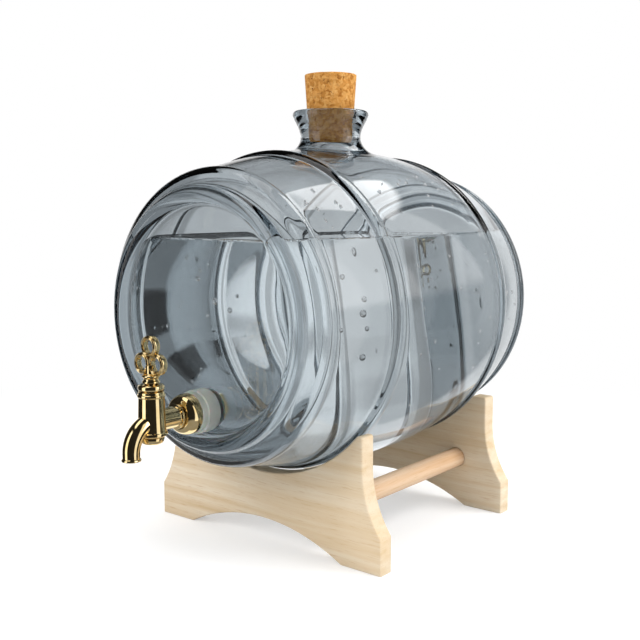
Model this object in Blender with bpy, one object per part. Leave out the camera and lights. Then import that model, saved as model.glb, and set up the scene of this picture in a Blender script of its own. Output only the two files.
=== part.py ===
"""A glass spirit barrel lying in a two-board wooden cradle, with a cork in its neck and a tap in its head.

Metres, +Z up. The barrel's axis lies along Y, the tap is at -Y, and the ground is z = 0. The origin is below
the middle of the whole thing. Lengths along the barrel are counted from its middle, with the tap's end
negative, and lengths up the tap are counted from the height of its inlet.
"""

import math

import bmesh
import bpy
from mathutils import Matrix, Vector

# Clearances that hold between touching pieces
SEAT_GAP = 0.0003
RUNNING_GAP = 0.0003
CUT_OVERRUN = 0.004

# Glass barrel
BARREL_LENGTH = 0.2156
BELLY_RADIUS = 0.0898
BULGE = 0.0150
BODY_WALL = 0.0045
HEAD_WALL = 0.0050
END_HOOP_INSET = 0.0124
END_HOOP_HALF_WIDTH = 0.0046
END_HOOP_RISE = 0.0022
MID_HOOP_OFFSET = 0.0523
MID_HOOP_HALF_WIDTH = 0.0043
MID_HOOP_RISE = 0.0018
RIM_SETBACK = 0.0115
RIM_ROUND = 0.0047
HEAD_RECESS = 0.0056
HEAD_FILLET = 0.0008
INNER_CORNER = 0.0090

# Cork
CORK_LENGTH = 0.0400
CORK_TOP_RADIUS = 0.0149
CORK_TAPER = 0.0026
CORK_STANDOUT = 0.0203
CORK_EDGE = 0.0007

# Neck, standing on the middle of the barrel
NECK_HEIGHT = 0.0217
WAIST_WALL = 0.0024
WAIST_DEPTH = 0.0148
LIP_OVERHANG = 0.0046
LIP_ROUND = 0.0021
LIP_FALL = 0.0052
ROOT_FLARE = 0.0084
ROOT_SINK = 0.0004
BORE_EDGE = 0.0008
BORE_MOUTH_FLARE = 0.0035

# Cradle boards
BOARD_THICKNESS = 0.0100
BOARD_AHEAD_OF_HOOP = 0.0090
BOARD_PITCH = 0.1256
SADDLE_FLOOR = 0.0405
HORN_RISE = 0.0295
HORN_TIP_WIDTH = 0.0036
HORN_STRAIGHT = 0.0160
HORN_ROUND = 0.0016
FOOT_FLARE = 0.0116
FOOT_HEIGHT = 0.0190
FOOT_PAD = 0.0252
ARCH_RISE = 0.0140
BOARD_EDGE = 0.0008

# Dowels that tie the boards together
DOWEL_RADIUS = 0.0058
DOWEL_HEIGHT = 0.0300
DOWEL_INSET = 0.0315
DOWEL_EDGE = 0.0008
SOCKET_DEPTH = 0.0060

# Tap: bores, plug and seals
PORT_RADIUS = 0.0021
FLOW_BORE_STEP = 0.0005
PLUG_RADIUS = 0.0043
PLUG_LAND = 0.0007
PLUG_END_LAND = 0.0005
PLUG_TOP_LAND = 0.0057
STEM_RADIUS = 0.0026
SEAL_WIRE_RADIUS = 0.0006

# Tap: valve body and spout
VALVE_WALL = 0.0017
VALVE_FLARE = 0.0006
BEAD_RISE = 0.0004
BEAD_HALF_WIDTH = 0.0009
BEAD_INSET = 0.0020
CHAMBER_ROOF = 0.0016
FOOT_RING_RISE = 0.0006
FOOT_RING_HEIGHT = 0.0012
FOOT_RING_TAPER = 0.0006
VALVE_BELOW_SPOUT = 0.0024
SPOUT_WALL = 0.0016
SPOUT_TAPER = 0.0004
SPOUT_DROP = 0.0036
SPOUT_LIP_RISE = 0.0005
SPOUT_LIP_HEIGHT = 0.0014

# Tap: gland ring and bottom cap
GLAND_POCKET_PLAY = 0.0006
GLAND_OVERHANG = 0.0001
GLAND_HEIGHT = 0.0031
GLAND_ROUND = 0.0012
GLAND_SPIGOT = 0.0010
CAP_LEDGE = 0.0013
CAP_EDGE_HEIGHT = 0.0008
CAP_HEIGHT = 0.0034
CAP_FOOT_RADIUS = 0.0036

# Tap: tail, and what clamps it in the hole of the front head
TAIL_WALL = 0.0027
TAIL_SHOWING = 0.0025
HOLE_PLAY = 0.0009
TAP_EDGE_DISTANCE = 0.0006
STEM_LENGTH = 0.0144
COLLAR_RISE = 0.0011
COLLAR_LENGTH = 0.0018
FLANGE_RADIUS = 0.0104
FLANGE_NOSE_WALL = 0.0010
FLANGE_DEPTH = 0.0075
FLANGE_RIM = 0.0014
FLANGE_HOLLOW_DEPTH = 0.0024
FLANGE_LIP = 0.0018
OUTER_WASHER_MARGIN = 0.0008
OUTER_WASHER_THICKNESS = 0.0114
OUTER_WASHER_STEP = 0.0006
OUTER_WASHER_STEP_WIDTH = 0.0032
INNER_WASHER_RADIUS = 0.0100
INNER_WASHER_THICKNESS = 0.0020
THRUST_WASHER_RADIUS = 0.0092
THRUST_WASHER_THICKNESS = 0.0010
NUT_ACROSS_FLATS = 0.0150
NUT_THICKNESS = 0.0050
WASHER_EDGE = 0.0004

# Tap: three-ring handle
HUB_WALL = 0.0005
HUB_BEAD = 0.0009
HUB_HEIGHT = 0.0047
HUB_ROOF = 0.0009
KNUCKLE_RADIUS = 0.0024
KNUCKLE_HEIGHT = 0.0045
RING_HOLE_RADIUS = 0.0034
RING_WALL = 0.0019
RING_EDGE_SHARE = 0.37
RING_OVERLAP = 0.0008
RING_SINK = 0.0004
RING_THICKNESS = 0.0042
HANDLE_TURN_DEGREES = 2.0
GRUB_RADIUS = 0.0009
GRUB_LENGTH = 0.0017

# How finely round shapes are cut
BARREL_SEGMENTS = 44
NECK_SEGMENTS = 28
TURNED_SEGMENTS = 24
SMALL_SEGMENTS = 12
SADDLE_STEPS = 28
ARC_STEPS = 8
FLARE_STEPS = 5
SMOOTH_ANGLE = math.radians(35)

# Sizes and places of the barrel, its neck and its cork that follow from the sizes above
HALF_LENGTH = BARREL_LENGTH / 2
END_HOOP_OFFSET = HALF_LENGTH - END_HOOP_INSET
SHOULDER_RADIUS = BELLY_RADIUS - BULGE
RIM_RADIUS = SHOULDER_RADIUS - RIM_SETBACK
RECESS_RADIUS = RIM_RADIUS - RIM_ROUND - HEAD_FILLET
HEAD_FACE = HALF_LENGTH - HEAD_RECESS
HEAD_INSIDE = HEAD_FACE - HEAD_WALL
CORK_BOTTOM_RADIUS = CORK_TOP_RADIUS - CORK_TAPER
WAIST_RADIUS = CORK_TOP_RADIUS + WAIST_WALL
LIP_RADIUS = WAIST_RADIUS + LIP_OVERHANG
NECK_REACH = BELLY_RADIUS + NECK_HEIGHT
CORK_END = NECK_REACH + CORK_STANDOUT - CORK_LENGTH

# Those of the tap, with heights counted from its inlet
FLOW_BORE_RADIUS = PORT_RADIUS + FLOW_BORE_STEP
SPOUT_RADIUS = FLOW_BORE_RADIUS + SPOUT_WALL
SPOUT_ROOT_RADIUS = SPOUT_RADIUS + SPOUT_TAPER
TAIL_RADIUS = FLOW_BORE_RADIUS + TAIL_WALL
TAIL_HOLE_RADIUS = TAIL_RADIUS + SEAT_GAP
COLLAR_RADIUS = TAIL_RADIUS + COLLAR_RISE
FLANGE_NOSE_RADIUS = TAIL_HOLE_RADIUS + FLANGE_NOSE_WALL
OUTER_WASHER_RADIUS = FLANGE_RADIUS + OUTER_WASHER_MARGIN
CHAMBER_RADIUS = PLUG_RADIUS + RUNNING_GAP
STEM_HOLE_RADIUS = STEM_RADIUS + RUNNING_GAP
GROOVE_HALF_WIDTH = SEAL_WIRE_RADIUS + SEAT_GAP
PLUG_SEAL_OFFSET = PORT_RADIUS + PLUG_LAND + GROOVE_HALF_WIDTH
PLUG_BOTTOM = PLUG_SEAL_OFFSET + GROOVE_HALF_WIDTH + PLUG_END_LAND
PLUG_SHOULDER = PLUG_SEAL_OFFSET + GROOVE_HALF_WIDTH + PLUG_TOP_LAND
CHAMBER_TOP = PLUG_SHOULDER + RUNNING_GAP
GLAND_POCKET_RADIUS = STEM_HOLE_RADIUS + 2 * SEAL_WIRE_RADIUS + GLAND_POCKET_PLAY + SEAT_GAP
GLAND_POCKET_DEPTH = 2 * SEAL_WIRE_RADIUS + 2 * SEAT_GAP + GLAND_SPIGOT
GLAND_POCKET_FLOOR = CHAMBER_TOP + CHAMBER_ROOF
VALVE_TOP = GLAND_POCKET_FLOOR + GLAND_POCKET_DEPTH
VALVE_TOP_RADIUS = CHAMBER_RADIUS + VALVE_WALL
VALVE_FOOT = SPOUT_ROOT_RADIUS + VALVE_BELOW_SPOUT
VALVE_FOOT_RADIUS = VALVE_TOP_RADIUS + VALVE_FLARE
FOOT_RING_RADIUS = VALVE_FOOT_RADIUS + FOOT_RING_RISE
GLAND_RADIUS = VALVE_TOP_RADIUS + GLAND_OVERHANG
GLAND_BOTTOM = VALVE_TOP + SEAT_GAP
HUB_WAIST_RADIUS = STEM_RADIUS + SEAT_GAP + HUB_WALL
HUB_RADIUS = HUB_WAIST_RADIUS + HUB_BEAD
HUB_BOTTOM = GLAND_BOTTOM + GLAND_HEIGHT + RUNNING_GAP
HUB_TOP = HUB_BOTTOM + HUB_HEIGHT
STEM_TOP = HUB_TOP - HUB_ROOF - SEAT_GAP
RING_RADIUS = RING_HOLE_RADIUS + RING_WALL
RING_EDGE = RING_WALL * RING_EDGE_SHARE
RING_SPACING = 2 * RING_RADIUS - RING_OVERLAP
CAP_RADIUS = CHAMBER_RADIUS + CAP_LEDGE
CAP_TOP = VALVE_FOOT + SEAT_GAP

# The inside of the spout's bend passes just in front of the cap's upper edge
CAP_SIDE = CAP_RADIUS + SEAT_GAP
SPOUT_BEND = (CAP_SIDE**2 + CAP_TOP**2 - SPOUT_ROOT_RADIUS**2) / (2 * (CAP_TOP - SPOUT_ROOT_RADIUS))

# Stations along the barrel, from its middle
WASHER_FRONT = -HEAD_FACE - SEAT_GAP - OUTER_WASHER_THICKNESS
FLANGE_FRONT = WASHER_FRONT - SEAT_GAP - FLANGE_DEPTH
COLLAR_FRONT = FLANGE_FRONT - SEAT_GAP - COLLAR_LENGTH
VALVE_OFFSET = COLLAR_FRONT - STEM_LENGTH
SPOUT_TIP = VALVE_OFFSET - SPOUT_BEND - SPOUT_RADIUS - SPOUT_LIP_RISE
INNER_WASHER_START = -HEAD_INSIDE + SEAT_GAP
THRUST_WASHER_START = INNER_WASHER_START + INNER_WASHER_THICKNESS + SEAT_GAP
NUT_START = THRUST_WASHER_START + THRUST_WASHER_THICKNESS + SEAT_GAP
TAIL_END = NUT_START + NUT_THICKNESS + TAIL_SHOWING
FRONT_BOARD_FACE = -MID_HOOP_OFFSET - BOARD_AHEAD_OF_HOOP
REAR_BOARD_FACE = FRONT_BOARD_FACE + BOARD_PITCH
BARREL_Y = (-SPOUT_TIP - HALF_LENGTH) / 2


def clear_scene():
    for obj in list(bpy.data.objects):
        bpy.data.objects.remove(obj, do_unlink=True)


def material(name, colour, roughness, metallic=0.0, alpha=1.0, transmission=0.0):
    made = bpy.data.materials.new(name)
    made.use_nodes = True
    shader = made.node_tree.nodes["Principled BSDF"]
    shader.inputs["Base Color"].default_value = (*colour, 1.0)
    shader.inputs["Roughness"].default_value = roughness
    shader.inputs["Metallic"].default_value = metallic
    shader.inputs["Alpha"].default_value = alpha
    shader.inputs["Transmission Weight"].default_value = transmission
    made.diffuse_color = (*colour, alpha)
    return made


def body_empty(name, place):
    empty = bpy.data.objects.new(name, None)
    empty.location = place
    bpy.context.scene.collection.objects.link(empty)
    return empty


def add_object(name, mesh_maker, place, turn=None, parent=None, finish=None, helper=False):
    """An object whose bmesh is built by mesh_maker, with its own origin at place."""
    shape = bmesh.new()
    mesh_maker(shape)
    bmesh.ops.recalc_face_normals(shape, faces=shape.faces)
    mesh = bpy.data.meshes.new(name)
    shape.to_mesh(mesh)
    shape.free()
    mesh.shade_smooth()
    mesh.set_sharp_from_angle(angle=SMOOTH_ANGLE)
    obj = bpy.data.objects.new(name, mesh)
    bpy.context.scene.collection.objects.link(obj)
    obj.location = Vector(place)
    if parent:
        obj.parent = parent
        obj.location -= parent.location
    if turn:
        obj.rotation_euler = turn
    if finish:
        mesh.materials.append(finish)
    if helper:
        obj.hide_render = True
        obj.display_type = "WIRE"
    return obj


def boolean(obj, other, operation):
    modifier = obj.modifiers.new(f"{operation.lower()}_{other.name}", "BOOLEAN")
    modifier.operation = operation
    modifier.object = other
    modifier.solver = "EXACT"


def arc(centre_a, centre_b, radius, start, end, steps):
    """Points (a, b) along an arc, with its angles in degrees counted from the a axis towards b."""
    return [
        (
            centre_a + radius * math.cos(math.radians(start + (end - start) * i / steps)),
            centre_b + radius * math.sin(math.radians(start + (end - start) * i / steps)),
        )
        for i in range(steps + 1)
    ]


def fillet(before, corner, after, radius, steps):
    """The arc of this radius that rounds a corner of an outline."""
    corner = Vector(corner)
    to_before = (Vector(before) - corner).normalized()
    to_after = (Vector(after) - corner).normalized()
    half = to_before.angle(to_after) / 2
    middle = corner + (to_before + to_after).normalized() * (radius / math.sin(half))
    first = corner + to_before * (radius / math.tan(half)) - middle
    last = corner + to_after * (radius / math.tan(half)) - middle
    sweep = first.angle_signed(last)
    return [
        tuple(middle + Matrix.Rotation(-sweep * i / steps, 2) @ first) for i in range(steps + 1)
    ]


def lathe(profile, segments, closed=False):
    """A maker that turns (radius, height) points about local Z. A closed profile goes round a hole."""

    def make(shape):
        rings = []
        for radius, height in profile:
            if radius == 0:
                rings.append([shape.verts.new((0, 0, height))])
                continue
            rings.append(
                [
                    shape.verts.new(
                        (
                            radius * math.cos(math.tau * i / segments),
                            radius * math.sin(math.tau * i / segments),
                            height,
                        )
                    )
                    for i in range(segments)
                ]
            )
        pairs = list(zip(rings, rings[1:]))
        if closed:
            pairs.append((rings[-1], rings[0]))
        for low, high in pairs:
            for i in range(segments):
                j = (i + 1) % segments
                corners = [low[i % len(low)], low[j % len(low)], high[j % len(high)], high[i % len(high)]]
                shape.faces.new(list(dict.fromkeys(corners)))

    return make


def extruded(outline, thickness):
    """A maker for an outline in local X and Z, grown along +Y."""

    def make(shape):
        face = shape.faces.new([shape.verts.new((x, 0, z)) for x, z in outline])
        grown = bmesh.ops.extrude_face_region(shape, geom=[face])["geom"]
        moved = [v for v in grown if isinstance(v, bmesh.types.BMVert)]
        bmesh.ops.translate(shape, verts=moved, vec=(0, thickness, 0))

    return make


def tube(stations, segments):
    """A maker for a round bar: each station is (centre, direction, radius), in the YZ plane."""

    def make(shape):
        rings = []
        for centre, direction, radius in stations:
            across = Vector((1, 0, 0))
            up = across.cross(Vector(direction).normalized())
            rings.append(
                [
                    shape.verts.new(
                        Vector(centre)
                        + across * radius * math.cos(math.tau * i / segments)
                        + up * radius * math.sin(math.tau * i / segments)
                    )
                    for i in range(segments)
                ]
            )
        for low, high in zip(rings, rings[1:]):
            for i in range(segments):
                j = (i + 1) % segments
                shape.faces.new([low[i], low[j], high[j], high[i]])
        shape.faces.new(rings[0])
        shape.faces.new(rings[-1])

    return make


def edged_disc(radius, hole, start, end, edge):
    """The closed section of a flat ring with both outer edges broken."""
    return [
        (hole, start),
        (radius - edge, start),
        (radius, start + edge),
        (radius, end - edge),
        (radius - edge, end),
        (hole, end),
    ]


def round_ring(centre_radius, height, wire_radius, steps=8):
    """The closed section of a ring of round wire."""
    return arc(centre_radius, height, wire_radius, 0, 360 - 360 / steps, steps - 1)


# The glass barrel


def stave_radius(offset):
    """The bulging body of the barrel, without its hoops, at this distance from its middle."""
    share = (offset / END_HOOP_OFFSET) ** 2
    return BELLY_RADIUS - (BELLY_RADIUS - SHOULDER_RADIUS) * share


def hoop(offset, half_width, rise, steps=6):
    """Points (radius, offset) over one raised hoop."""
    points = []
    for i in range(steps + 1):
        turn = math.pi * i / steps
        along = offset - half_width * math.cos(turn)
        points.append((stave_radius(along) + rise * math.sin(turn), along))
    return points


def hooped_radius(offset):
    """The outside of the glass at this distance from its middle, hoops included."""
    radius = stave_radius(offset)
    for middle, half_width, rise in (
        (MID_HOOP_OFFSET, MID_HOOP_HALF_WIDTH, MID_HOOP_RISE),
        (END_HOOP_OFFSET, END_HOOP_HALF_WIDTH, END_HOOP_RISE),
    ):
        reach = (abs(offset) - middle) / half_width
        if abs(reach) < 1:
            radius += rise * math.sqrt(1 - reach * reach)
    return radius


def body_stretch(start, end, steps):
    """Points (radius, offset) along the plain body, leaving out both ends."""
    places = [start + (end - start) * i / steps for i in range(1, steps)]
    return [(stave_radius(place), place) for place in places]


def barrel_outside():
    """The (radius, offset) profile from the middle of the front head to the middle of the rear head."""
    half = body_stretch(0, MID_HOOP_OFFSET - MID_HOOP_HALF_WIDTH, 4)
    half += hoop(MID_HOOP_OFFSET, MID_HOOP_HALF_WIDTH, MID_HOOP_RISE)
    half += body_stretch(
        MID_HOOP_OFFSET + MID_HOOP_HALF_WIDTH, END_HOOP_OFFSET - END_HOOP_HALF_WIDTH, 3
    )
    half += hoop(END_HOOP_OFFSET, END_HOOP_HALF_WIDTH, END_HOOP_RISE)
    rim_centre = HALF_LENGTH - RIM_ROUND
    half += arc(RIM_RADIUS, rim_centre, RIM_ROUND, 0, 180, ARC_STEPS)
    half += [(RIM_RADIUS - RIM_ROUND - HEAD_FILLET, HEAD_FACE), (0, HEAD_FACE)]
    mirrored = [(radius, -offset) for radius, offset in reversed(half)]
    return mirrored + [(stave_radius(0), 0)] + half


def barrel_inside():
    """The hollow's profile, a wall's thickness in from the body and from the heads."""
    corner = HEAD_INSIDE - INNER_CORNER
    corner_radius = stave_radius(corner) - BODY_WALL
    half = [(radius - BODY_WALL, place) for radius, place in body_stretch(0, corner, 4)]
    half += arc(corner_radius - INNER_CORNER, corner, INNER_CORNER, 0, 90, 3)
    half += [(0, HEAD_INSIDE)]
    mirrored = [(radius, -offset) for radius, offset in reversed(half)]
    return mirrored + [(stave_radius(0) - BODY_WALL, 0)] + half


def cork_radius(height):
    """The cork's taper, at this height above the barrel's axis."""
    return CORK_BOTTOM_RADIUS + CORK_TAPER * (height - CORK_END) / CORK_LENGTH


def neck_outside():
    """The neck's (radius, height, follow share) rings above the barrel's axis, from the lip to the hollow.

    A ring follows the barrel's curved top by its share, so that the flare's root lies on the glass.
    """
    waist = NECK_REACH - WAIST_DEPTH
    lip_low = NECK_REACH - LIP_FALL
    lip = arc(LIP_RADIUS - LIP_ROUND, NECK_REACH - LIP_ROUND, LIP_ROUND, 90, -30, FLARE_STEPS)
    rings = [(radius, height, 0) for radius, height in lip]
    under_lip = LIP_RADIUS - LIP_ROUND / 2
    for i in range(FLARE_STEPS + 1):
        share = i / FLARE_STEPS
        radius = under_lip + (WAIST_RADIUS - under_lip) * math.sin(math.pi / 2 * share)
        rings.append((radius, lip_low + (waist - lip_low) * share, 0))
    root = stave_radius(0) - ROOT_SINK
    for i in range(1, FLARE_STEPS + 1):
        turn = math.pi / 2 * i / FLARE_STEPS
        radius = WAIST_RADIUS + ROOT_FLARE * (1 - math.cos(turn))
        rings.append((radius, waist + (root - waist) * math.sin(turn), math.sin(turn)))
    rings.append((WAIST_RADIUS + ROOT_FLARE, stave_radius(0) / 2, 0))
    return rings


def saddled_lathe(rings, segments):
    """A maker that turns the neck's rings about local Z, each bent over the barrel's top by its share."""

    def make(shape):
        levels = []
        for radius, height, share in rings:
            level = []
            for i in range(segments):
                x = radius * math.cos(math.tau * i / segments)
                y = radius * math.sin(math.tau * i / segments)
                surface = math.sqrt(stave_radius(y) ** 2 - x * x)
                level.append(shape.verts.new((x, y, height + (surface - stave_radius(0)) * share)))
            levels.append(level)
        for low, high in zip(levels, levels[1:]):
            for i in range(segments):
                j = (i + 1) % segments
                shape.faces.new([low[i], low[j], high[j], high[i]])
        shape.faces.new(levels[0])
        shape.faces.new(levels[-1])

    return make


def neck_bore():
    """The bore's profile above the barrel's axis: the cork's taper, then a flare into the hollow."""
    seat_low = cork_radius(CORK_END) + SEAT_GAP
    seat_high = cork_radius(NECK_REACH) + SEAT_GAP
    mouth = stave_radius(0) - BODY_WALL
    points = [(0, NECK_REACH + CUT_OVERRUN)]
    points.append((seat_high + BORE_EDGE + CUT_OVERRUN, NECK_REACH + CUT_OVERRUN))
    points.append((seat_high + BORE_EDGE, NECK_REACH))
    points.append((cork_radius(NECK_REACH - BORE_EDGE) + SEAT_GAP, NECK_REACH - BORE_EDGE))
    for i in range(FLARE_STEPS):
        turn = math.pi / 2 * i / (FLARE_STEPS - 1)
        flare = BORE_MOUTH_FLARE * (1 - math.cos(turn))
        points.append((seat_low + flare, CORK_END - (CORK_END - mouth) * math.sin(turn)))
    points.append((seat_low + BORE_MOUTH_FLARE, stave_radius(0) / 2))
    points.append((0, stave_radius(0) / 2))
    return points


def saddle_radius(board_face):
    """A board's saddle clears the widest glass over its thickness."""
    across = [board_face + BOARD_THICKNESS * i / SADDLE_STEPS for i in range(SADDLE_STEPS + 1)]
    return max(hooped_radius(offset) for offset in across) + SEAT_GAP


# The barrel lies in the front board's saddle
AXIS_HEIGHT = SADDLE_FLOOR + saddle_radius(FRONT_BOARD_FACE)
CORK_BOTTOM = AXIS_HEIGHT + CORK_END
TAP_HEIGHT = AXIS_HEIGHT - RECESS_RADIUS + TAP_EDGE_DISTANCE + OUTER_WASHER_RADIUS
VALVE_AXIS = Vector((0, BARREL_Y + VALVE_OFFSET, TAP_HEIGHT))


def build_glass_barrel(parent, finish):
    centre = (0, BARREL_Y, AXIS_HEIGHT)
    along_y = (-math.pi / 2, 0, 0)
    glass = add_object(
        "glass_barrel", lathe(barrel_outside(), BARREL_SEGMENTS), centre, along_y, parent, finish
    )
    neck = add_object("neck_form", saddled_lathe(neck_outside(), NECK_SEGMENTS), centre, helper=True)
    hollow = add_object(
        "hollow_cutter", lathe(barrel_inside(), BARREL_SEGMENTS), centre, along_y, helper=True
    )
    bore = add_object("bore_cutter", lathe(neck_bore(), NECK_SEGMENTS), centre, helper=True)
    reach = CUT_OVERRUN + HEAD_WALL
    hole_radius = TAIL_RADIUS + HOLE_PLAY
    hole_profile = [(0, -reach), (hole_radius, -reach), (hole_radius, reach), (0, reach)]
    hole = add_object(
        "tap_hole_cutter",
        lathe(hole_profile, TURNED_SEGMENTS),
        (0, BARREL_Y - HEAD_FACE, TAP_HEIGHT),
        along_y,
        helper=True,
    )
    boolean(glass, neck, "UNION")
    for cutter in (hollow, bore, hole):
        boolean(glass, cutter, "DIFFERENCE")


def build_cork(parent, finish):
    slope = CORK_TAPER * CORK_EDGE / CORK_LENGTH
    profile = [
        (0, CORK_LENGTH),
        (CORK_TOP_RADIUS - slope - CORK_EDGE, CORK_LENGTH),
        (CORK_TOP_RADIUS - slope, CORK_LENGTH - CORK_EDGE),
        (CORK_BOTTOM_RADIUS + slope, CORK_EDGE),
        (CORK_BOTTOM_RADIUS + slope - CORK_EDGE, 0),
        (0, 0),
    ]
    place = (0, BARREL_Y, CORK_BOTTOM)
    add_object("cork_stopper", lathe(profile, NECK_SEGMENTS), place, None, parent, finish)


# The cradle


def horn_inside(saddle):
    """Half the width between a board's horns, at their tops."""
    return math.sqrt(saddle**2 - (AXIS_HEIGHT - SADDLE_FLOOR - HORN_RISE) ** 2)


HORN_TOP = SADDLE_FLOOR + HORN_RISE
HORN_HALF_WIDTH = horn_inside(saddle_radius(FRONT_BOARD_FACE)) + HORN_TIP_WIDTH
FOOT_HALF_WIDTH = HORN_HALF_WIDTH + FOOT_FLARE
ARCH_HALF_WIDTH = FOOT_HALF_WIDTH - FOOT_PAD
DOWEL_HALF_SPREAD = FOOT_HALF_WIDTH - DOWEL_INSET


def board_outline(saddle):
    """One board seen from the front: saddle, horns, waisted sides, feet and the arch between them."""
    saddle_end = math.degrees(math.asin(horn_inside(saddle) / saddle))
    bed = arc(0, AXIS_HEIGHT, saddle, 270 + saddle_end, 270 - saddle_end, SADDLE_STEPS)
    waist = HORN_TOP - HORN_STRAIGHT
    drop = waist - FOOT_HEIGHT
    sweep_radius = (drop**2 + FOOT_FLARE**2) / (2 * FOOT_FLARE)
    sweep = math.degrees(math.asin(drop / sweep_radius))
    side = arc(HORN_HALF_WIDTH + sweep_radius, waist, sweep_radius, 180, 180 + sweep, ARC_STEPS)
    arch_radius = (ARCH_HALF_WIDTH**2 + ARCH_RISE**2) / (2 * ARCH_RISE)
    arch_half = math.degrees(math.asin(ARCH_HALF_WIDTH / arch_radius))
    arch = arc(0, ARCH_RISE - arch_radius, arch_radius, 90 - arch_half, 90 + arch_half, 2 * ARC_STEPS)

    inner_top = bed[0]
    outer_top = (HORN_HALF_WIDTH, HORN_TOP)
    right = fillet(bed[1], inner_top, outer_top, HORN_ROUND, 4)
    right += fillet(inner_top, outer_top, (HORN_HALF_WIDTH, waist), HORN_ROUND, 4)
    right += side
    right += [(FOOT_HALF_WIDTH, 0)]
    left = [(-x, z) for x, z in reversed(right)]
    return right + arch + left + list(reversed(bed[1:-1]))


def build_cradle(parent, finish):
    faces = {"front_cradle_board": FRONT_BOARD_FACE, "rear_cradle_board": REAR_BOARD_FACE}
    length = BOARD_PITCH - BOARD_THICKNESS + 2 * (SOCKET_DEPTH - SEAT_GAP)
    socket_radius = DOWEL_RADIUS + SEAT_GAP
    inner_gap = BOARD_PITCH - BOARD_THICKNESS + 2 * SOCKET_DEPTH
    dowel_start = BARREL_Y + FRONT_BOARD_FACE + BOARD_THICKNESS - SOCKET_DEPTH
    dowel_profile = [
        (0, 0),
        (DOWEL_RADIUS - DOWEL_EDGE, 0),
        (DOWEL_RADIUS, DOWEL_EDGE),
        (DOWEL_RADIUS, length - DOWEL_EDGE),
        (DOWEL_RADIUS - DOWEL_EDGE, length),
        (0, length),
    ]
    socket_profile = [(0, 0), (socket_radius, 0), (socket_radius, inner_gap), (0, inner_gap)]
    towards_rear = (-math.pi / 2, 0, 0)
    sockets = []
    for side, name in ((-1, "left_dowel"), (1, "right_dowel")):
        place = Vector((side * DOWEL_HALF_SPREAD, dowel_start, DOWEL_HEIGHT))
        seat = place + Vector((0, SEAT_GAP, 0))
        add_object(name, lathe(dowel_profile, TURNED_SEGMENTS), seat, towards_rear, parent, finish)
        sockets.append(
            add_object(
                f"{name}_socket",
                lathe(socket_profile, TURNED_SEGMENTS),
                place,
                towards_rear,
                helper=True,
            )
        )
    for name, face in faces.items():
        board = add_object(
            name,
            extruded(board_outline(saddle_radius(face)), BOARD_THICKNESS),
            (0, BARREL_Y + face, 0),
            None,
            parent,
            finish,
        )
        edge = board.modifiers.new("broken_edge", "BEVEL")
        edge.width = BOARD_EDGE
        edge.segments = 1
        edge.limit_method = "ANGLE"
        edge.angle_limit = math.radians(60)
        for socket in sockets:
            boolean(board, socket, "DIFFERENCE")


# The tap


def build_clamping_pieces(parent, brass, silicone):
    """What holds the tap's tail in the head's hole: flange and washer outside, washers and nut inside."""
    hole = TAIL_HOLE_RADIUS
    axis = (0, BARREL_Y, TAP_HEIGHT)
    along_y = (-math.pi / 2, 0, 0)

    washer_back = WASHER_FRONT + OUTER_WASHER_THICKNESS
    step_at = WASHER_FRONT + OUTER_WASHER_STEP_WIDTH
    step_radius = OUTER_WASHER_RADIUS - OUTER_WASHER_STEP
    outer = [
        (hole, WASHER_FRONT),
        (step_radius - WASHER_EDGE, WASHER_FRONT),
        (step_radius, WASHER_FRONT + WASHER_EDGE),
        (step_radius, step_at),
        (OUTER_WASHER_RADIUS, step_at + OUTER_WASHER_STEP),
        (OUTER_WASHER_RADIUS, washer_back - WASHER_EDGE),
        (OUTER_WASHER_RADIUS - WASHER_EDGE, washer_back),
        (hole, washer_back),
    ]
    add_object("outer_seal_washer", lathe(outer, TURNED_SEGMENTS, True), axis, along_y, parent, silicone)

    flange_back = FLANGE_FRONT + FLANGE_DEPTH
    dome_end = flange_back - FLANGE_RIM
    flange = [(hole, FLANGE_FRONT), (FLANGE_NOSE_RADIUS, FLANGE_FRONT)]
    for i in range(1, 7):
        turn = math.pi / 2 * i / 6
        flange.append(
            (
                FLANGE_NOSE_RADIUS + (FLANGE_RADIUS - FLANGE_NOSE_RADIUS) * math.sin(turn),
                dome_end - (dome_end - FLANGE_FRONT) * math.cos(turn),
            )
        )
    flange += [
        (FLANGE_RADIUS, flange_back),
        (FLANGE_RADIUS - FLANGE_LIP, flange_back),
        (FLANGE_RADIUS - FLANGE_LIP, flange_back - FLANGE_HOLLOW_DEPTH),
        (hole, flange_back - FLANGE_HOLLOW_DEPTH),
    ]
    add_object("flange_rosette", lathe(flange, TURNED_SEGMENTS, True), axis, along_y, parent, brass)

    inner_end = INNER_WASHER_START + INNER_WASHER_THICKNESS
    inner = edged_disc(INNER_WASHER_RADIUS, hole, INNER_WASHER_START, inner_end, WASHER_EDGE)
    add_object("inner_seal_washer", lathe(inner, TURNED_SEGMENTS, True), axis, along_y, parent, silicone)

    thrust_end = THRUST_WASHER_START + THRUST_WASHER_THICKNESS
    thrust = [
        (hole, THRUST_WASHER_START),
        (THRUST_WASHER_RADIUS, THRUST_WASHER_START),
        (THRUST_WASHER_RADIUS, thrust_end),
        (hole, thrust_end),
    ]
    add_object("thrust_washer", lathe(thrust, TURNED_SEGMENTS, True), axis, along_y, parent, brass)

    corner_radius = NUT_ACROSS_FLATS / 2 / math.cos(math.pi / 6)
    nut_outline = arc(0, 0, corner_radius, 0, 300, 5)
    nut_place = (0, BARREL_Y + NUT_START, TAP_HEIGHT)
    nut = add_object("lock_nut", extruded(nut_outline, NUT_THICKNESS), nut_place, None, parent, brass)
    nut_bore = [(0, -CUT_OVERRUN), (hole, -CUT_OVERRUN)]
    nut_bore += [(hole, NUT_THICKNESS + CUT_OVERRUN), (0, NUT_THICKNESS + CUT_OVERRUN)]
    bore = add_object("nut_bore_cutter", lathe(nut_bore, TURNED_SEGMENTS), nut_place, along_y, helper=True)
    boolean(nut, bore, "DIFFERENCE")


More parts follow.
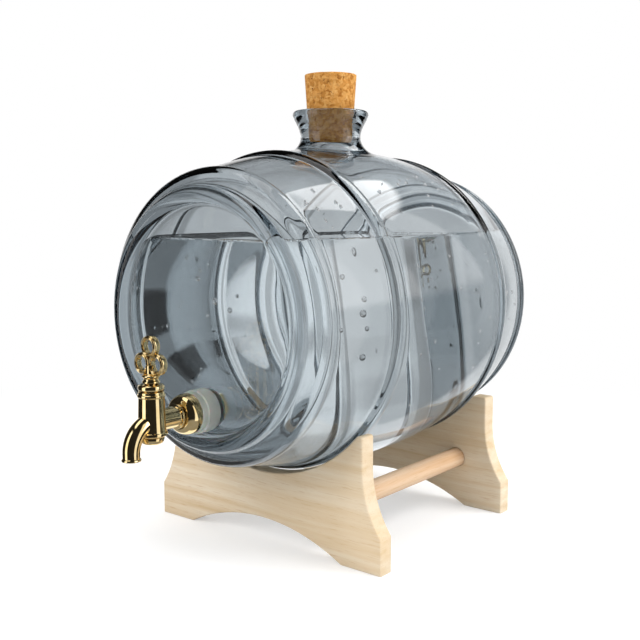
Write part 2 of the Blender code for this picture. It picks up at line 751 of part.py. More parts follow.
def bead(radius, height):
    """Points down a small raised ring on a turned body."""
    return [
        (radius, height + BEAD_HALF_WIDTH),
        (radius + BEAD_RISE, height + BEAD_HALF_WIDTH / 2),
        (radius + BEAD_RISE, height - BEAD_HALF_WIDTH / 2),
        (radius, height - BEAD_HALF_WIDTH),
    ]


def spout_stations(root_radius, radius, start, end_extra, lip_rise):
    """Stations down the spout's quarter bend and short drop, from inside the valve body."""
    stations = [((0, start, 0), (0, -1, 0), root_radius)]
    for i in range(ARC_STEPS + 1):
        turn = math.pi / 2 * i / ARC_STEPS
        place = (0, -SPOUT_BEND * math.sin(turn), SPOUT_BEND * (math.cos(turn) - 1))
        width = root_radius + (radius - root_radius) * i / ARC_STEPS
        stations.append((place, (0, -math.cos(turn), -math.sin(turn)), width))
    lip = -SPOUT_BEND - SPOUT_DROP
    down = (0, 0, -1)
    if lip_rise:
        stations.append(((0, -SPOUT_BEND, lip + SPOUT_LIP_HEIGHT), down, radius))
        stations.append(((0, -SPOUT_BEND, lip + SPOUT_LIP_HEIGHT - lip_rise), down, radius + lip_rise))
        stations.append(((0, -SPOUT_BEND, lip), down, radius + lip_rise))
    else:
        stations.append(((0, -SPOUT_BEND, lip - end_extra), down, radius))
    return stations


def build_tap_body(parent, brass):
    """The valve body, its tail and its spout in one casting, with the ways for plug and liquid cut out."""
    ring_foot = FOOT_RING_TAPER - VALVE_FOOT
    ring_top = ring_foot + FOOT_RING_HEIGHT
    profile = [(0, VALVE_TOP), (VALVE_TOP_RADIUS, VALVE_TOP)]
    profile += bead(VALVE_TOP_RADIUS, VALVE_TOP - BEAD_INSET)
    profile += [
        (VALVE_FOOT_RADIUS, ring_top + FOOT_RING_TAPER),
        (FOOT_RING_RADIUS, ring_top),
        (FOOT_RING_RADIUS, ring_foot),
        (CAP_RADIUS + SEAT_GAP, -VALVE_FOOT),
        (0, -VALVE_FOOT),
    ]
    body = add_object("tap_body", lathe(profile, TURNED_SEGMENTS), VALVE_AXIS, None, parent, brass)

    along_y = (-math.pi / 2, 0, 0)
    collar_start = COLLAR_FRONT - VALVE_OFFSET
    tail_end = TAIL_END - VALVE_OFFSET
    tail_profile = [
        (0, 0),
        (TAIL_RADIUS, 0),
        (TAIL_RADIUS, collar_start),
        (COLLAR_RADIUS, collar_start + WASHER_EDGE),
        (COLLAR_RADIUS, collar_start + COLLAR_LENGTH),
        (TAIL_RADIUS, collar_start + COLLAR_LENGTH),
        (TAIL_RADIUS, tail_end - WASHER_EDGE),
        (TAIL_RADIUS - WASHER_EDGE, tail_end),
        (0, tail_end),
    ]
    tail = add_object("tail_form", lathe(tail_profile, TURNED_SEGMENTS), VALVE_AXIS, along_y, helper=True)
    spout = add_object(
        "spout_form",
        tube(
            spout_stations(SPOUT_ROOT_RADIUS, SPOUT_RADIUS, PORT_RADIUS, 0, SPOUT_LIP_RISE),
            TURNED_SEGMENTS,
        ),
        VALVE_AXIS,
        helper=True,
    )
    boolean(body, tail, "UNION")
    boolean(body, spout, "UNION")

    chamber_floor = -VALVE_FOOT - CUT_OVERRUN
    chamber_profile = [
        (0, VALVE_TOP + CUT_OVERRUN),
        (GLAND_POCKET_RADIUS, VALVE_TOP + CUT_OVERRUN),
        (GLAND_POCKET_RADIUS, GLAND_POCKET_FLOOR),
        (STEM_HOLE_RADIUS, GLAND_POCKET_FLOOR),
        (STEM_HOLE_RADIUS, CHAMBER_TOP),
        (CHAMBER_RADIUS, CHAMBER_TOP),
        (CHAMBER_RADIUS, chamber_floor),
        (0, chamber_floor),
    ]
    chamber = add_object("chamber_cutter", lathe(chamber_profile, TURNED_SEGMENTS), VALVE_AXIS, helper=True)
    inlet_profile = [(0, 0), (FLOW_BORE_RADIUS, 0)]
    inlet_profile += [(FLOW_BORE_RADIUS, tail_end + CUT_OVERRUN), (0, tail_end + CUT_OVERRUN)]
    inlet_form = lathe(inlet_profile, SMALL_SEGMENTS)
    inlet = add_object("inlet_cutter", inlet_form, VALVE_AXIS, along_y, helper=True)
    outlet = add_object(
        "outlet_cutter",
        tube(
            spout_stations(FLOW_BORE_RADIUS, FLOW_BORE_RADIUS, PORT_RADIUS, CUT_OVERRUN, 0), SMALL_SEGMENTS
        ),
        VALVE_AXIS,
        helper=True,
    )
    for cutter in (chamber, inlet, outlet):
        boolean(body, cutter, "DIFFERENCE")


def build_gland_and_cap(parent, brass, rubber):
    """The ring that closes the top of the valve body, the seal under it and the cap below."""
    top = GLAND_BOTTOM + GLAND_HEIGHT
    spigot_radius = GLAND_POCKET_RADIUS - SEAT_GAP
    gland = [
        (STEM_HOLE_RADIUS, GLAND_BOTTOM - GLAND_SPIGOT),
        (spigot_radius, GLAND_BOTTOM - GLAND_SPIGOT),
        (spigot_radius, GLAND_BOTTOM),
        (GLAND_RADIUS - GLAND_ROUND, GLAND_BOTTOM),
    ]
    gland += arc(GLAND_RADIUS - GLAND_ROUND, GLAND_BOTTOM + GLAND_ROUND, GLAND_ROUND, -60, 0, 3)
    gland += arc(GLAND_RADIUS - GLAND_ROUND, top - GLAND_ROUND, GLAND_ROUND, 0, 90, 4)
    gland += [(STEM_HOLE_RADIUS, top)]
    add_object("gland_ring", lathe(gland, TURNED_SEGMENTS, True), VALVE_AXIS, None, parent, brass)

    seal_height = GLAND_POCKET_FLOOR + SEAT_GAP + SEAL_WIRE_RADIUS
    seal_radius = STEM_HOLE_RADIUS + SEAL_WIRE_RADIUS
    seal = round_ring(seal_radius, seal_height, SEAL_WIRE_RADIUS)
    add_object("stem_seal", lathe(seal, SMALL_SEGMENTS, True), VALVE_AXIS, None, parent, rubber)

    foot = -CAP_TOP - CAP_HEIGHT
    screw_radius = CHAMBER_RADIUS - SEAT_GAP
    screw_top = -PLUG_BOTTOM - RUNNING_GAP
    cap = [(0, screw_top), (screw_radius, screw_top), (screw_radius, -CAP_TOP), (CAP_RADIUS, -CAP_TOP)]
    dome_top = -CAP_TOP - CAP_EDGE_HEIGHT
    for i in range(6):
        turn = math.pi / 2 * i / 5
        cap.append(
            (
                CAP_FOOT_RADIUS + (CAP_RADIUS - CAP_FOOT_RADIUS) * math.cos(turn),
                dome_top - (dome_top - foot) * math.sin(turn),
            )
        )
    cap.append((0, foot))
    add_object("bottom_cap", lathe(cap, TURNED_SEGMENTS), VALVE_AXIS, None, parent, brass)


def build_plug(parent, brass, rubber):
    """The turning plug: two seal grooves, a cross port between them and a stem up through the gland."""
    groove_radius = PLUG_RADIUS - 2 * SEAL_WIRE_RADIUS - SEAT_GAP
    profile = [(0, STEM_TOP), (STEM_RADIUS, STEM_TOP), (STEM_RADIUS, PLUG_SHOULDER)]
    profile += [(PLUG_RADIUS, PLUG_SHOULDER)]
    for height in (PLUG_SEAL_OFFSET, -PLUG_SEAL_OFFSET):
        profile += [
            (PLUG_RADIUS, height + GROOVE_HALF_WIDTH),
            (groove_radius, height + GROOVE_HALF_WIDTH),
            (groove_radius, height - GROOVE_HALF_WIDTH),
            (PLUG_RADIUS, height - GROOVE_HALF_WIDTH),
        ]
    profile += [(PLUG_RADIUS, -PLUG_BOTTOM), (0, -PLUG_BOTTOM)]
    plug = add_object("tap_plug", lathe(profile, TURNED_SEGMENTS), VALVE_AXIS, None, parent, brass)
    reach = PLUG_RADIUS + CUT_OVERRUN
    port_profile = [(0, -reach), (PORT_RADIUS, -reach), (PORT_RADIUS, reach), (0, reach)]
    along_x = (0, math.pi / 2, 0)
    port = add_object("port_cutter", lathe(port_profile, SMALL_SEGMENTS), VALVE_AXIS, along_x, helper=True)
    boolean(plug, port, "DIFFERENCE")

    seal_radius = PLUG_RADIUS - SEAL_WIRE_RADIUS
    for name, height in (("upper_plug_seal", PLUG_SEAL_OFFSET), ("lower_plug_seal", -PLUG_SEAL_OFFSET)):
        seal = round_ring(seal_radius, height, SEAL_WIRE_RADIUS)
        add_object(name, lathe(seal, SMALL_SEGMENTS, True), VALVE_AXIS, None, parent, rubber)


def build_handle(parent, brass):
    """The hub on the stem, the three rings of the grip above it, and the grub screw in the hub's back."""
    turn = (0, 0, math.radians(HANDLE_TURN_DEGREES))
    waist = HUB_WAIST_RADIUS
    quarter = HUB_HEIGHT / 4
    hub_profile = [(0, HUB_BOTTOM), (waist, HUB_BOTTOM), (HUB_RADIUS, HUB_BOTTOM + quarter / 2)]
    hub_profile += [(HUB_RADIUS, HUB_BOTTOM + quarter), (waist, HUB_BOTTOM + 2 * quarter)]
    hub_profile += [(HUB_RADIUS, HUB_BOTTOM + 3 * quarter), (HUB_RADIUS, HUB_TOP - quarter / 2)]
    hub_profile += [(waist, HUB_TOP), (KNUCKLE_RADIUS, HUB_TOP)]
    hub_profile += [(KNUCKLE_RADIUS, HUB_TOP + KNUCKLE_HEIGHT), (0, HUB_TOP + KNUCKLE_HEIGHT)]
    hub_form = lathe(hub_profile, TURNED_SEGMENTS)
    handle = add_object("trefoil_handle", hub_form, VALVE_AXIS, turn, parent, brass)

    half = RING_THICKNESS / 2
    ring_profile = [(RING_HOLE_RADIUS, -half + RING_EDGE), (RING_HOLE_RADIUS + RING_EDGE, -half)]
    ring_profile += [(RING_RADIUS - RING_EDGE, -half), (RING_RADIUS, -half + RING_EDGE)]
    ring_profile += [(RING_RADIUS, half - RING_EDGE), (RING_RADIUS - RING_EDGE, half)]
    ring_profile += [(RING_HOLE_RADIUS + RING_EDGE, half), (RING_HOLE_RADIUS, half - RING_EDGE)]
    low = HUB_TOP + RING_RADIUS - RING_SINK
    high = low + RING_SPACING * math.sin(math.pi / 3)
    about = Matrix.Rotation(turn[2], 3, "Z")
    for index, (across, height) in enumerate(((-RING_SPACING / 2, low), (RING_SPACING / 2, low), (0, high))):
        place = VALVE_AXIS + about @ Vector((across, 0, height))
        ring = add_object(
            f"ring_form_{index}",
            lathe(ring_profile, TURNED_SEGMENTS, True),
            place,
            (math.pi / 2, 0, turn[2]),
            helper=True,
        )
        boolean(handle, ring, "UNION")

    socket_radius = STEM_RADIUS + SEAT_GAP
    socket_top = STEM_TOP + SEAT_GAP
    socket_profile = [(0, HUB_BOTTOM - CUT_OVERRUN), (socket_radius, HUB_BOTTOM - CUT_OVERRUN)]
    socket_profile += [(socket_radius, socket_top), (0, socket_top)]
    socket_form = lathe(socket_profile, TURNED_SEGMENTS)
    socket = add_object("stem_socket_cutter", socket_form, VALVE_AXIS, helper=True)
    boolean(handle, socket, "DIFFERENCE")

    screw_height = HUB_BOTTOM + HUB_HEIGHT * 7 / 8 - quarter / 2
    screw_place = VALVE_AXIS + Vector((0, 0, screw_height))
    screw_turn = (-math.pi / 2, 0, turn[2])
    hole_radius = GRUB_RADIUS + SEAT_GAP
    hole_length = HUB_RADIUS + CUT_OVERRUN
    hole_profile = [(0, 0), (hole_radius, 0), (hole_radius, hole_length), (0, hole_length)]
    hole_form = lathe(hole_profile, SMALL_SEGMENTS)
    hole = add_object("grub_hole_cutter", hole_form, screw_place, screw_turn, helper=True)
    boolean(handle, hole, "DIFFERENCE")
    tip = STEM_RADIUS + SEAT_GAP
    screw_profile = [(0, tip), (GRUB_RADIUS, tip), (GRUB_RADIUS, tip + GRUB_LENGTH), (0, tip + GRUB_LENGTH)]
    screw_form = lathe(screw_profile, SMALL_SEGMENTS)
    add_object("handle_grub_screw", screw_form, screw_place, screw_turn, parent, brass)


def main():
    clear_scene()
    smoky_glass = material("smoky_glass", (0.52, 0.58, 0.63), 0.03, alpha=0.45, transmission=0.9)
    gold = material("polished_gold_brass", (0.83, 0.62, 0.27), 0.12, metallic=1.0)
    cork = material("agglomerated_cork", (0.62, 0.42, 0.22), 0.85)
    beech = material("pale_beech", (0.79, 0.64, 0.46), 0.55)
    silicone = material("clear_silicone", (0.80, 0.82, 0.82), 0.45)
    rubber = material("black_seal_rubber", (0.04, 0.04, 0.04), 0.6)

    stand_body = body_empty("stand_body", (0, 0, 0))
    barrel_body = body_empty("barrel_body", (0, BARREL_Y, AXIS_HEIGHT))
    cork_body = body_empty("cork_body", (0, BARREL_Y, CORK_BOTTOM))
    tap_turn_axis = body_empty("tap_turn_axis", VALVE_AXIS)

    build_cradle(stand_body, beech)
    build_glass_barrel(barrel_body, smoky_glass)
    build_cork(cork_body, cork)
    build_clamping_pieces(barrel_body, gold, silicone)
    build_tap_body(barrel_body, gold)
    build_gland_and_cap(barrel_body, gold, rubber)
    build_plug(tap_turn_axis, gold, rubber)
    build_handle(tap_turn_axis, gold)


main()
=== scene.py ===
"""The looks of a glass spirit barrel in its wooden cradle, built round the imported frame.

Metres, +Z up, the barrel's axis along Y and the tap at -Y.
Lengths along the barrel are counted from its middle.
"""

import math
import random

import bmesh
import bpy
import numpy as np
from mathutils import Matrix, Vector, noise


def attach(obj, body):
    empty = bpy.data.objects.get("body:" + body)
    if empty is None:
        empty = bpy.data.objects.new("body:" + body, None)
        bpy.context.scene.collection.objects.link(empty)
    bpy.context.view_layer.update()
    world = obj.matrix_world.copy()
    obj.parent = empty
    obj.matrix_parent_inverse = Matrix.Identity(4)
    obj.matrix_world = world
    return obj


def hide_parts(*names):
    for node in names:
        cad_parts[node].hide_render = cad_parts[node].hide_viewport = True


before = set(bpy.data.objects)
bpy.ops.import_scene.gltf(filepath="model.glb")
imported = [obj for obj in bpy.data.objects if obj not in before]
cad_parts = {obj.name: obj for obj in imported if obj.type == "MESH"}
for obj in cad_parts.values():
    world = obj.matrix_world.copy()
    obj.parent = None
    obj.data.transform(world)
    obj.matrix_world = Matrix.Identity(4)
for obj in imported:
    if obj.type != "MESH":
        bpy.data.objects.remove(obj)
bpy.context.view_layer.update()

MM = 0.001

# Places of the barrel and its tap in the frame
BARREL_Y = 0.0240843
AXIS_HEIGHT = 0.1280133
TAP_HEIGHT = 0.0820133
VALVE_Y = -0.1141157
LIQUID_LEVEL = 0.1677

# The barrel's glass
HALF_LENGTH = 107.8 * MM
BELLY_RADIUS = 89.8 * MM
SHOULDER_RADIUS = 74.8 * MM
BODY_WALL = 4.5 * MM
END_HOOP = (95.4 * MM, 4.6 * MM, 2.2 * MM)  # offset, half width, rise
MID_HOOP = (52.3 * MM, 4.3 * MM, 1.8 * MM)
RIM_RADIUS = 63.3 * MM
RIM_ROUND = 4.7 * MM
RECESS_RADIUS = 57.8 * MM
HEAD_FACE = 102.2 * MM
HEAD_INSIDE = 97.2 * MM
INNER_CORNER = 9.0 * MM
TAP_HOLE_RADIUS = 6.2 * MM
HOLE_CHAMFER = 0.4 * MM
GLASS_BENDING = 1.52
MOULD_SOFTNESS = 0.7 * MM  # how far pressing rounds every corner of the glass
WAVE_REACH = 89.0 * MM  # how far from the middle the wall wanders
WAVE_HEIGHT = 0.22 * MM
WAVE_LENGTH = 34 * MM
WAVE_START = 12 * MM  # past the neck, how far the waves take to reach their height
WAVE_SIDES = 1.5  # how soon they reach it down the sides
WAVE_CIRCLE = 2.2  # radius of the circle that their noise is read along

# The spirit in it
LIQUID_LAP = 0.15 * MM
LIQUID_CLIMB = 1.5 * MM  # how far the liquid creeps up the wall
LIQUID_CURVE = 0.9  # distance in millimetres over which that climb falls off
LIQUID_RINGS = (0.15, 0.35, 0.65, 1.05, 1.6, 2.4, 3.6, 5.5)  # distances in millimetres of its points
SPIRIT_BENDING = 1.35

# The barrel's neck and its cork
NECK_REACH = 111.5 * MM
WAIST_RADIUS = 17.3 * MM
WAIST_HEIGHT = NECK_REACH - 14.8 * MM
LIP_RADIUS = 21.9 * MM
LIP_ROUND = 2.1 * MM
LIP_FALL = 5.2 * MM
ROOT_FLARE = 8.4 * MM
BORE_EDGE = 0.8 * MM
NECK_SOFTNESS = 0.35 * MM
MOUTH_FLARE = 3.5 * MM
SEAT_GAP = 0.3 * MM
CORK_END = 91.8 * MM
CORK_LENGTH = 40.0 * MM
CORK_TOP_RADIUS = 14.9 * MM
CORK_BOTTOM_RADIUS = 12.3 * MM
CORK_EDGE = 0.7 * MM
CORK_PORES = (420, 0.18, 1.5)  # how close, the share left whole, how deep
CORK_PRICKS = (900, 0.3, 1.0)
END_PIT = 0.5 * MM
SIDE_PIT = 0.55 * MM
CORK_RINGS = (3, 6, 9, 11, 12.5)  # radii in millimetres of the rings that divide its flat ends

# Bubbles behind the front head: across, up from the axis and radius, in millimetres
HEAD_BUBBLES = (
    (-16.7, 30.6, 1.0), (-6.8, 24.7, 1.2), (-8.7, 20.5, 1.5), (3.4, 9.4, 1.6), (14.0, 5.6, 1.3),
    (-1.8, 1.9, 1.3), (-20.3, 7.9, 0.8), (-22.7, 5.1, 0.8), (-11.5, -3.5, 0.8), (-16.1, -4.9, 0.7),
    (-5.0, -12.4, 0.6), (-6.8, -26.2, 0.8), (-8.4, -30.0, 0.9), (-13.7, -33.8, 0.9), (6.7, 32.4, 0.5),
    (16.5, 36.5, 0.5), (-8.1, 33.9, 0.5), (-7.9, -9.0, 0.6),
)
# Bubbles on the wall: degrees up from the right side, then offset and radius in millimetres
WALL_BUBBLES = (
    (18.7, -80.1, 1.3), (9.6, -69.9, 1.4), (4.6, -70.9, 1.9), (-0.9, -69.3, 1.3), (-0.6, -84.5, 1.2),
    (-11.3, -70.2, 1.6), (18.9, -59.6, 0.8), (172.0, -66.0, 1.4), (190.0, -20.0, 1.2), (165.0, 30.0, 1.5),
    (8.0, 20.0, 1.0), (180.0, 64.0, 1.3),
)
# Stretches of the wall with drops on them: offsets in millimetres, degrees up from the right side, how many
DROP_FIELDS = (
    ((-42, 40), (-32, 30), 26), ((-40, 31), (37, 56), 20), ((-86, -60), (36, 56), 9),
    ((58, 80), (-20, 30), 5), ((-84, 82), (130, 205), 34),
)
LEAST_BEAD = 0.85  # every bubble and drop is drawn at a share of its size between these
MOST_BEAD = 1.15
BUBBLE_GAP = 0.5 * MM
DROP_THICKNESS = 0.32 * MM

# How the glass is divided
COLUMNS = 256
NECK_BLOCK = 16  # columns on either side of the neck that its patch takes the place of
BLOCK_HALF = 33.6 * MM
NECK_SIDES = 4 * 2 * NECK_BLOCK
PATCH_STEPS = 7
HOLE_BLOCK = 8
HOLE_ROWS = [36 * MM + 2 * MM * i for i in range(11)]
HEAD_ROWS = [9 * MM * i for i in range(4)]
TOP_COLUMN = COLUMNS // 4
FOOT_COLUMN = 3 * COLUMNS // 4

# The cradle
BOARD_THICKNESS = 10.0 * MM
FRONT_BOARD = (-61.3 * MM, 87.5133 * MM)  # offset of its front face, radius of its saddle
REAR_BOARD = (64.3 * MM, 83.2858 * MM)
HORN_TOP = 70.0 * MM
HORN_HALF_WIDTH = 69.1212 * MM
WAIST_BELOW_HORN = 16.0 * MM
HORN_ROUND = 1.6 * MM
BOARD_EDGE = 0.9 * MM
FOOT_HALF_WIDTH = 80.7212 * MM
FOOT_FLARE = 11.6 * MM
FOOT_HEIGHT = 19.0 * MM
ARCH_HALF_WIDTH = 55.5212 * MM
ARCH_RISE = 14.0 * MM
DOWEL_RADIUS = 5.8 * MM
DOWEL_HEIGHT = 30.0 * MM
DOWEL_SPREAD = 49.2212 * MM
DOWEL_START = -57.3 * MM
DOWEL_LENGTH = 127.0 * MM
DOWEL_EDGE = 0.8 * MM

# The tap, in millimetres: its heights counted from the valve's inlet and its lengths from the barrel's middle
TAP_SIDES = 96
CUT = 4.0
TAP_GAP = 0.3
PORT_RADIUS = 2.1
BORE_RADIUS = 2.6
TAIL_RADIUS = 5.3
COLLAR_RADIUS = 6.4
SPOUT_ROOT_RADIUS = 4.6
SPOUT_RADIUS = 4.2
SPOUT_BEND = 13.0685
SPOUT_DROP = 3.6
# Up from the lip's edge, and how far the spout swells there
SPOUT_LIP = ((1.9, 0.0), (1.4, 0.0), (1.15, 0.28), (0.8, 0.5), (0.3, 0.5), (0.08, 0.4), (0.0, 0.2))
VALVE_TOP = 15.0
VALVE_FOOT = -7.0
VALVE_OFFSET = -138.2
COLLAR_FRONT = -123.8
FLANGE_FRONT = -121.7
FLANGE_THICKNESS = 7.5
WASHER_FRONT = -113.9
WASHER_THICKNESS = 11.4
TAIL_END = -85.8
BARE_TAIL = 2.3
THREAD_RIDGE = 0.3
THREAD_SINK = 0.05
NUT_HEIGHT = 5.0
NUT_HALF_WIDTH = 7.5
CAP_TOP = -7.3
GLAND_BOTTOM = 15.3
HUB_BOTTOM = 18.7
HUB_HEIGHT = 4.7
STEM_TOP = 22.5
# Half of a handle ring's section, from its hole out: radius and how far to the side
RING_FACE = (
    (3.42, 0.9), (3.5, 1.5), (3.72, 1.93), (4.02, 2.08), (4.3, 1.98), (4.48, 1.72), (4.58, 1.5), (4.74, 1.48),
    (4.94, 1.6), (5.16, 1.42), (5.27, 1.0), (5.3, 0.5),
)
HANDLE_TURN = math.radians(2.0)
GOLD_EDGE = 38  # degrees between faces that count as an edge

# The camera and the lights: name, place, size and strength
VIEW_TURN = math.radians(39.06)
VIEW_RISE = math.radians(6.94)
CAMERA_PLACE = (0.33921, -0.40355, 0.18483)
LENS = 52.24
LIGHTS = (
    ("window_light", (0.75, 0.35, 0.75), (0.6, 0.6), 8.3),
    ("front_light", (-0.2, -1.0, 0.8), (0.8, 0.6), 6.4),
    ("top_light", (0.0, 0.1, 1.2), (0.9, 0.9), 7.4),
)
LIT_PLACE = Vector((0, 0, 0.12))

# The room's panels, each with its strength, its sides and its rises. Sides are in degrees from the middle of
# the backdrop, positive to the right, and rises from the horizon. Each has a low, a high and how far its edge
# fades. A panel below zero is a dark cloth. First what mirrors show, then what bent light shows.
ROOM_DARK = 0.02
MIRRORED = (
    (0.98, (-36, 40, 6), (-95, 14, 9)),
    (5.0, (33, 66, 3), (42, 62, 3)),
    (1.2, (60, 84, 4), (8, 40, 6)),
    (2.6, (87, 113, 3), (8, 40, 6)),
    (1.1, (104, 130, 3), (-25, 45, 8)),
    (1.6, (-135, -108, 3), (-25, 45, 8)),
    (1.6, (-150, 20, 6), (64, 95, 6)),
    (0.3, (-200, 200, 1), (-95, -28, 10)),
)
BACK_LIGHT = 0.84
BENT = (
    (0.58, (12, 42, 4), (-13, -2, 3)),
    (0.48, (6, 42, 4), (6, 21, 4)),
    (0.20, (82, 140, 4), (-60, 90, 10)),
    (0.35, (-135, -90, 8), (-60, -18, 5)),
    (-0.83, (60, 79, 3), (-9, 7, 4)),
    (-0.40, (40, 76, 4), (-60, -12, 3)),
    (-0.32, (58, 78, 3), (10, 21, 4)),
    (-0.90, (70, 94, 3), (22, 35, 3)),
    (-0.32, (44, 68, 4), (23, 90, 4)),
    (-0.16, (-8, 6, 6), (9, 14, 3)),
    (-0.20, (-30, -7, 4), (-16, -8, 3)),
    (-0.35, (-60, -14, 6), (-12, 35, 5)),
)
ROOM_LIGHT = 0.7
INSIDE_LIGHT = 1.5
FLOOR_RADIUS = 0.6
FLOOR_FADE = (0.2, 0.5)  # how far out the table begins and ends its fading to white
TABLE_GREY = 0.62
TABLE_GLOW = 0.42
BOUNCE_GREY = 0.8  # the tone that throws light back up at the object
WHITE = (1, 1, 1, 1)

# What every clear body's skin has
CLEAR = {"Transmission Weight": 1.0, "Roughness": 0.0}


# Small makers that every piece shares


def linear(code):
    """An sRGB hex colour as a linear one."""
    parts = [int(code[i : i + 2], 16) / 255 for i in (1, 3, 5)]
    return (*[c / 12.92 if c <= 0.04045 else ((c + 0.055) / 1.055) ** 2.4 for c in parts], 1.0)


def add(tree, kind, inputs=None, stops=None, **settings):
    """A node with its settings. A shader node's kind leaves out its first word.

    An input is a value, the socket that feeds it, or the node whose first socket feeds it.
    """
    made = tree.nodes.new(kind if "Node" in kind else "ShaderNode" + kind)
    for name, value in settings.items():
        setattr(made, name, value)
    for key, value in (inputs or {}).items():
        source = value.outputs[0] if isinstance(value, bpy.types.Node) else value
        if isinstance(source, bpy.types.NodeSocket):
            tree.links.new(source, made.inputs[key])
        else:
            made.inputs[key].default_value = source
    if stops:
        elements = made.color_ramp.elements
        while len(elements) < len(stops):
            elements.new(0.5)
        for element, (place, colour) in zip(elements, stops):
            element.position = place
            element.color = linear(colour)
    return made


def new_material(name):
    """A material with an empty tree, and the socket of its object coordinates."""
    made = bpy.data.materials.new(name)
    made.use_nodes = True
    made.node_tree.nodes.clear()
    return made, made.node_tree, add(made.node_tree, "TexCoord").outputs["Object"]


def close_material(made, inputs, volume=None):
    """Ends a material with a skin of these inputs and, for tinted glass, with what fills the body."""
    ends = {"Surface": add(made.node_tree, "BsdfPrincipled", inputs)}
    if volume:
        ends["Volume"] = volume
    add(made.node_tree, "OutputMaterial", ends)
    return made


def clouded(name, scale, detail, surface, tones=None, relief=None, melt=None):
    """A material whose tones and relief (strength, distance) follow one cloud.

    A melt (colour, density) tints the body by its thickness.
    """
    made, tree, place = new_material(name)
    cloud = add(tree, "TexNoise", {"Vector": place, "Scale": scale, "Detail": detail})
    inputs = dict(surface)
    if tones:
        inputs["Base Color"] = add(tree, "ValToRGB", {"Fac": cloud}, stops=tones)
    if relief:
        inputs["Normal"] = add(tree, "Bump", {"Height": cloud, "Strength": relief[0], "Distance": relief[1]})
    tint = add(tree, "VolumeAbsorption", {"Color": linear(melt[0]), "Density": melt[1]}) if melt else None
    return close_material(made, inputs, tint)


def put(name, data):
    obj = bpy.data.objects.new(name, data)
    bpy.context.scene.collection.objects.link(obj)
    return obj


def add_piece(name, shape, finish, body, node=None, sharp_angle=None):
    """An object at the origin from a finished bmesh in the frame's own coordinates, carried by its body."""
    bmesh.ops.recalc_face_normals(shape, faces=shape.faces)
    mesh = bpy.data.meshes.new(name)
    shape.to_mesh(mesh)
    shape.free()
    mesh.shade_smooth()
    if sharp_angle:
        mesh.set_sharp_from_angle(angle=math.radians(sharp_angle))
    mesh.materials.append(finish)
    made = put(name, mesh)
    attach(made, body)
    if node:
        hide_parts(node)


def arc(centre_a, centre_b, radius, start, end, steps, radius_b=None):
    """Points (a, b) along an arc or an oval, its angles in degrees counted from the a axis towards b."""
    turns = [math.radians(start + (end - start) * i / steps) for i in range(steps + 1)]
    return [(centre_a + radius * math.cos(t), centre_b + (radius_b or radius) * math.sin(t)) for t in turns]


def tube(inner, outer, start, end):
    """The section of a plain tube, or of a rod where the inner radius is 0."""
    return [(inner, start), (outer, start), (outer, end), (inner, end)]


def softened(points, softness, turn_degrees=7.0, longest=4.0 * MM):
    """A section with every corner rounded, then as few points as its curves need. Its ends stay."""
    pts = np.array(points, float)
    along = np.concatenate([[0], np.cumsum(np.hypot(*np.diff(pts, axis=0).T))])
    pitch = 0.1 * MM
    even = np.linspace(0, along[-1], max(8, int(along[-1] / pitch)) + 1)
    dense = np.stack([np.interp(even, along, pts[:, k]) for k in range(2)], axis=1)
    step = even[1]
    reach = int(3 * softness / step)
    weights = np.exp(-0.5 * (np.arange(-reach, reach + 1) * step / softness) ** 2)
    weights /= weights.sum()
    before = 2 * dense[0] - dense[1 : reach + 1][::-1]
    after = 2 * dense[-1] - dense[-reach - 1 : -1][::-1]
    padded = np.concatenate([before, dense, after])
    dense = np.stack([np.convolve(padded[:, k], weights, "valid") for k in range(2)], axis=1)
    run = np.diff(dense, axis=0)
    angle = np.unwrap(np.arctan2(run[:, 1], run[:, 0]))
    turning = np.abs(np.diff(angle)) / math.radians(turn_degrees)
    cost = np.concatenate([[0], np.cumsum(turning + step / longest), [0]])
    cost[-1] = cost[-2] + step / longest
    rows = max(2, int(math.ceil(cost[-1])))
    number = np.arange(len(dense))
    chosen = np.interp(np.linspace(0, cost[-1], rows + 1), cost, np.arange(len(cost)))
    return [(np.interp(c, number, dense[:, 0]), np.interp(c, number, dense[:, 1])) for c in chosen]


def rounded(section, radius, closed=True, steps=4):
    """A section with each of its corners rounded by the radius, or by as much as its sides leave room for."""
    points = [Vector(p) for p in section]
    count = len(points)
    made = []
    for i, corner in enumerate(points):
        if not closed and i in (0, count - 1):
            made.append(tuple(corner))
            continue
        before, after = points[i - 1] - corner, points[(i + 1) % count] - corner
        half = before.angle(after) / 2
        reach = min(radius / math.tan(half), 0.48 * before.length, 0.48 * after.length)
        if half > math.radians(80) or reach < 1e-6:
            made.append(tuple(corner))
            continue
        first, last = corner + before.normalized() * reach, corner + after.normalized() * reach
        for s in range(steps + 1):
            t = s / steps
            made.append(tuple(first * (1 - t) ** 2 + corner * 2 * t * (1 - t) + last * t * t))
    return made


def bridge(shape, *rings):
    """Faces between closed rings of the same number of points, each joined to the next."""
    for ring, other in zip(rings, rings[1:]):
        for i in range(len(ring)):
            j = (i + 1) % len(ring)
            shape.faces.new((ring[i], ring[j], other[j], other[i]))


def turned(profile, sides, place, closed=False):
    """A body turned from profile points (radius, distance).

    The function place(x, across, distance) gives the point in the frame.
    """
    shape = bmesh.new()
    rings = []
    for radius, distance in profile:
        count = sides if radius > 1e-9 else 1
        turns = [math.tau * i / count for i in range(count)]
        spots = [place(radius * math.cos(t), radius * math.sin(t), distance) for t in turns]
        rings.append([shape.verts.new(spot) for spot in spots])
    pairs = list(zip(rings, rings[1:])) + ([(rings[-1], rings[0])] if closed else [])
    for low, high in pairs:
        for i in range(sides):
            j = (i + 1) % sides
            corners = [low[i % len(low)], low[j % len(low)], high[j % len(high)], high[i % len(high)]]
            shape.faces.new(list(dict.fromkeys(corners)))
    return shape


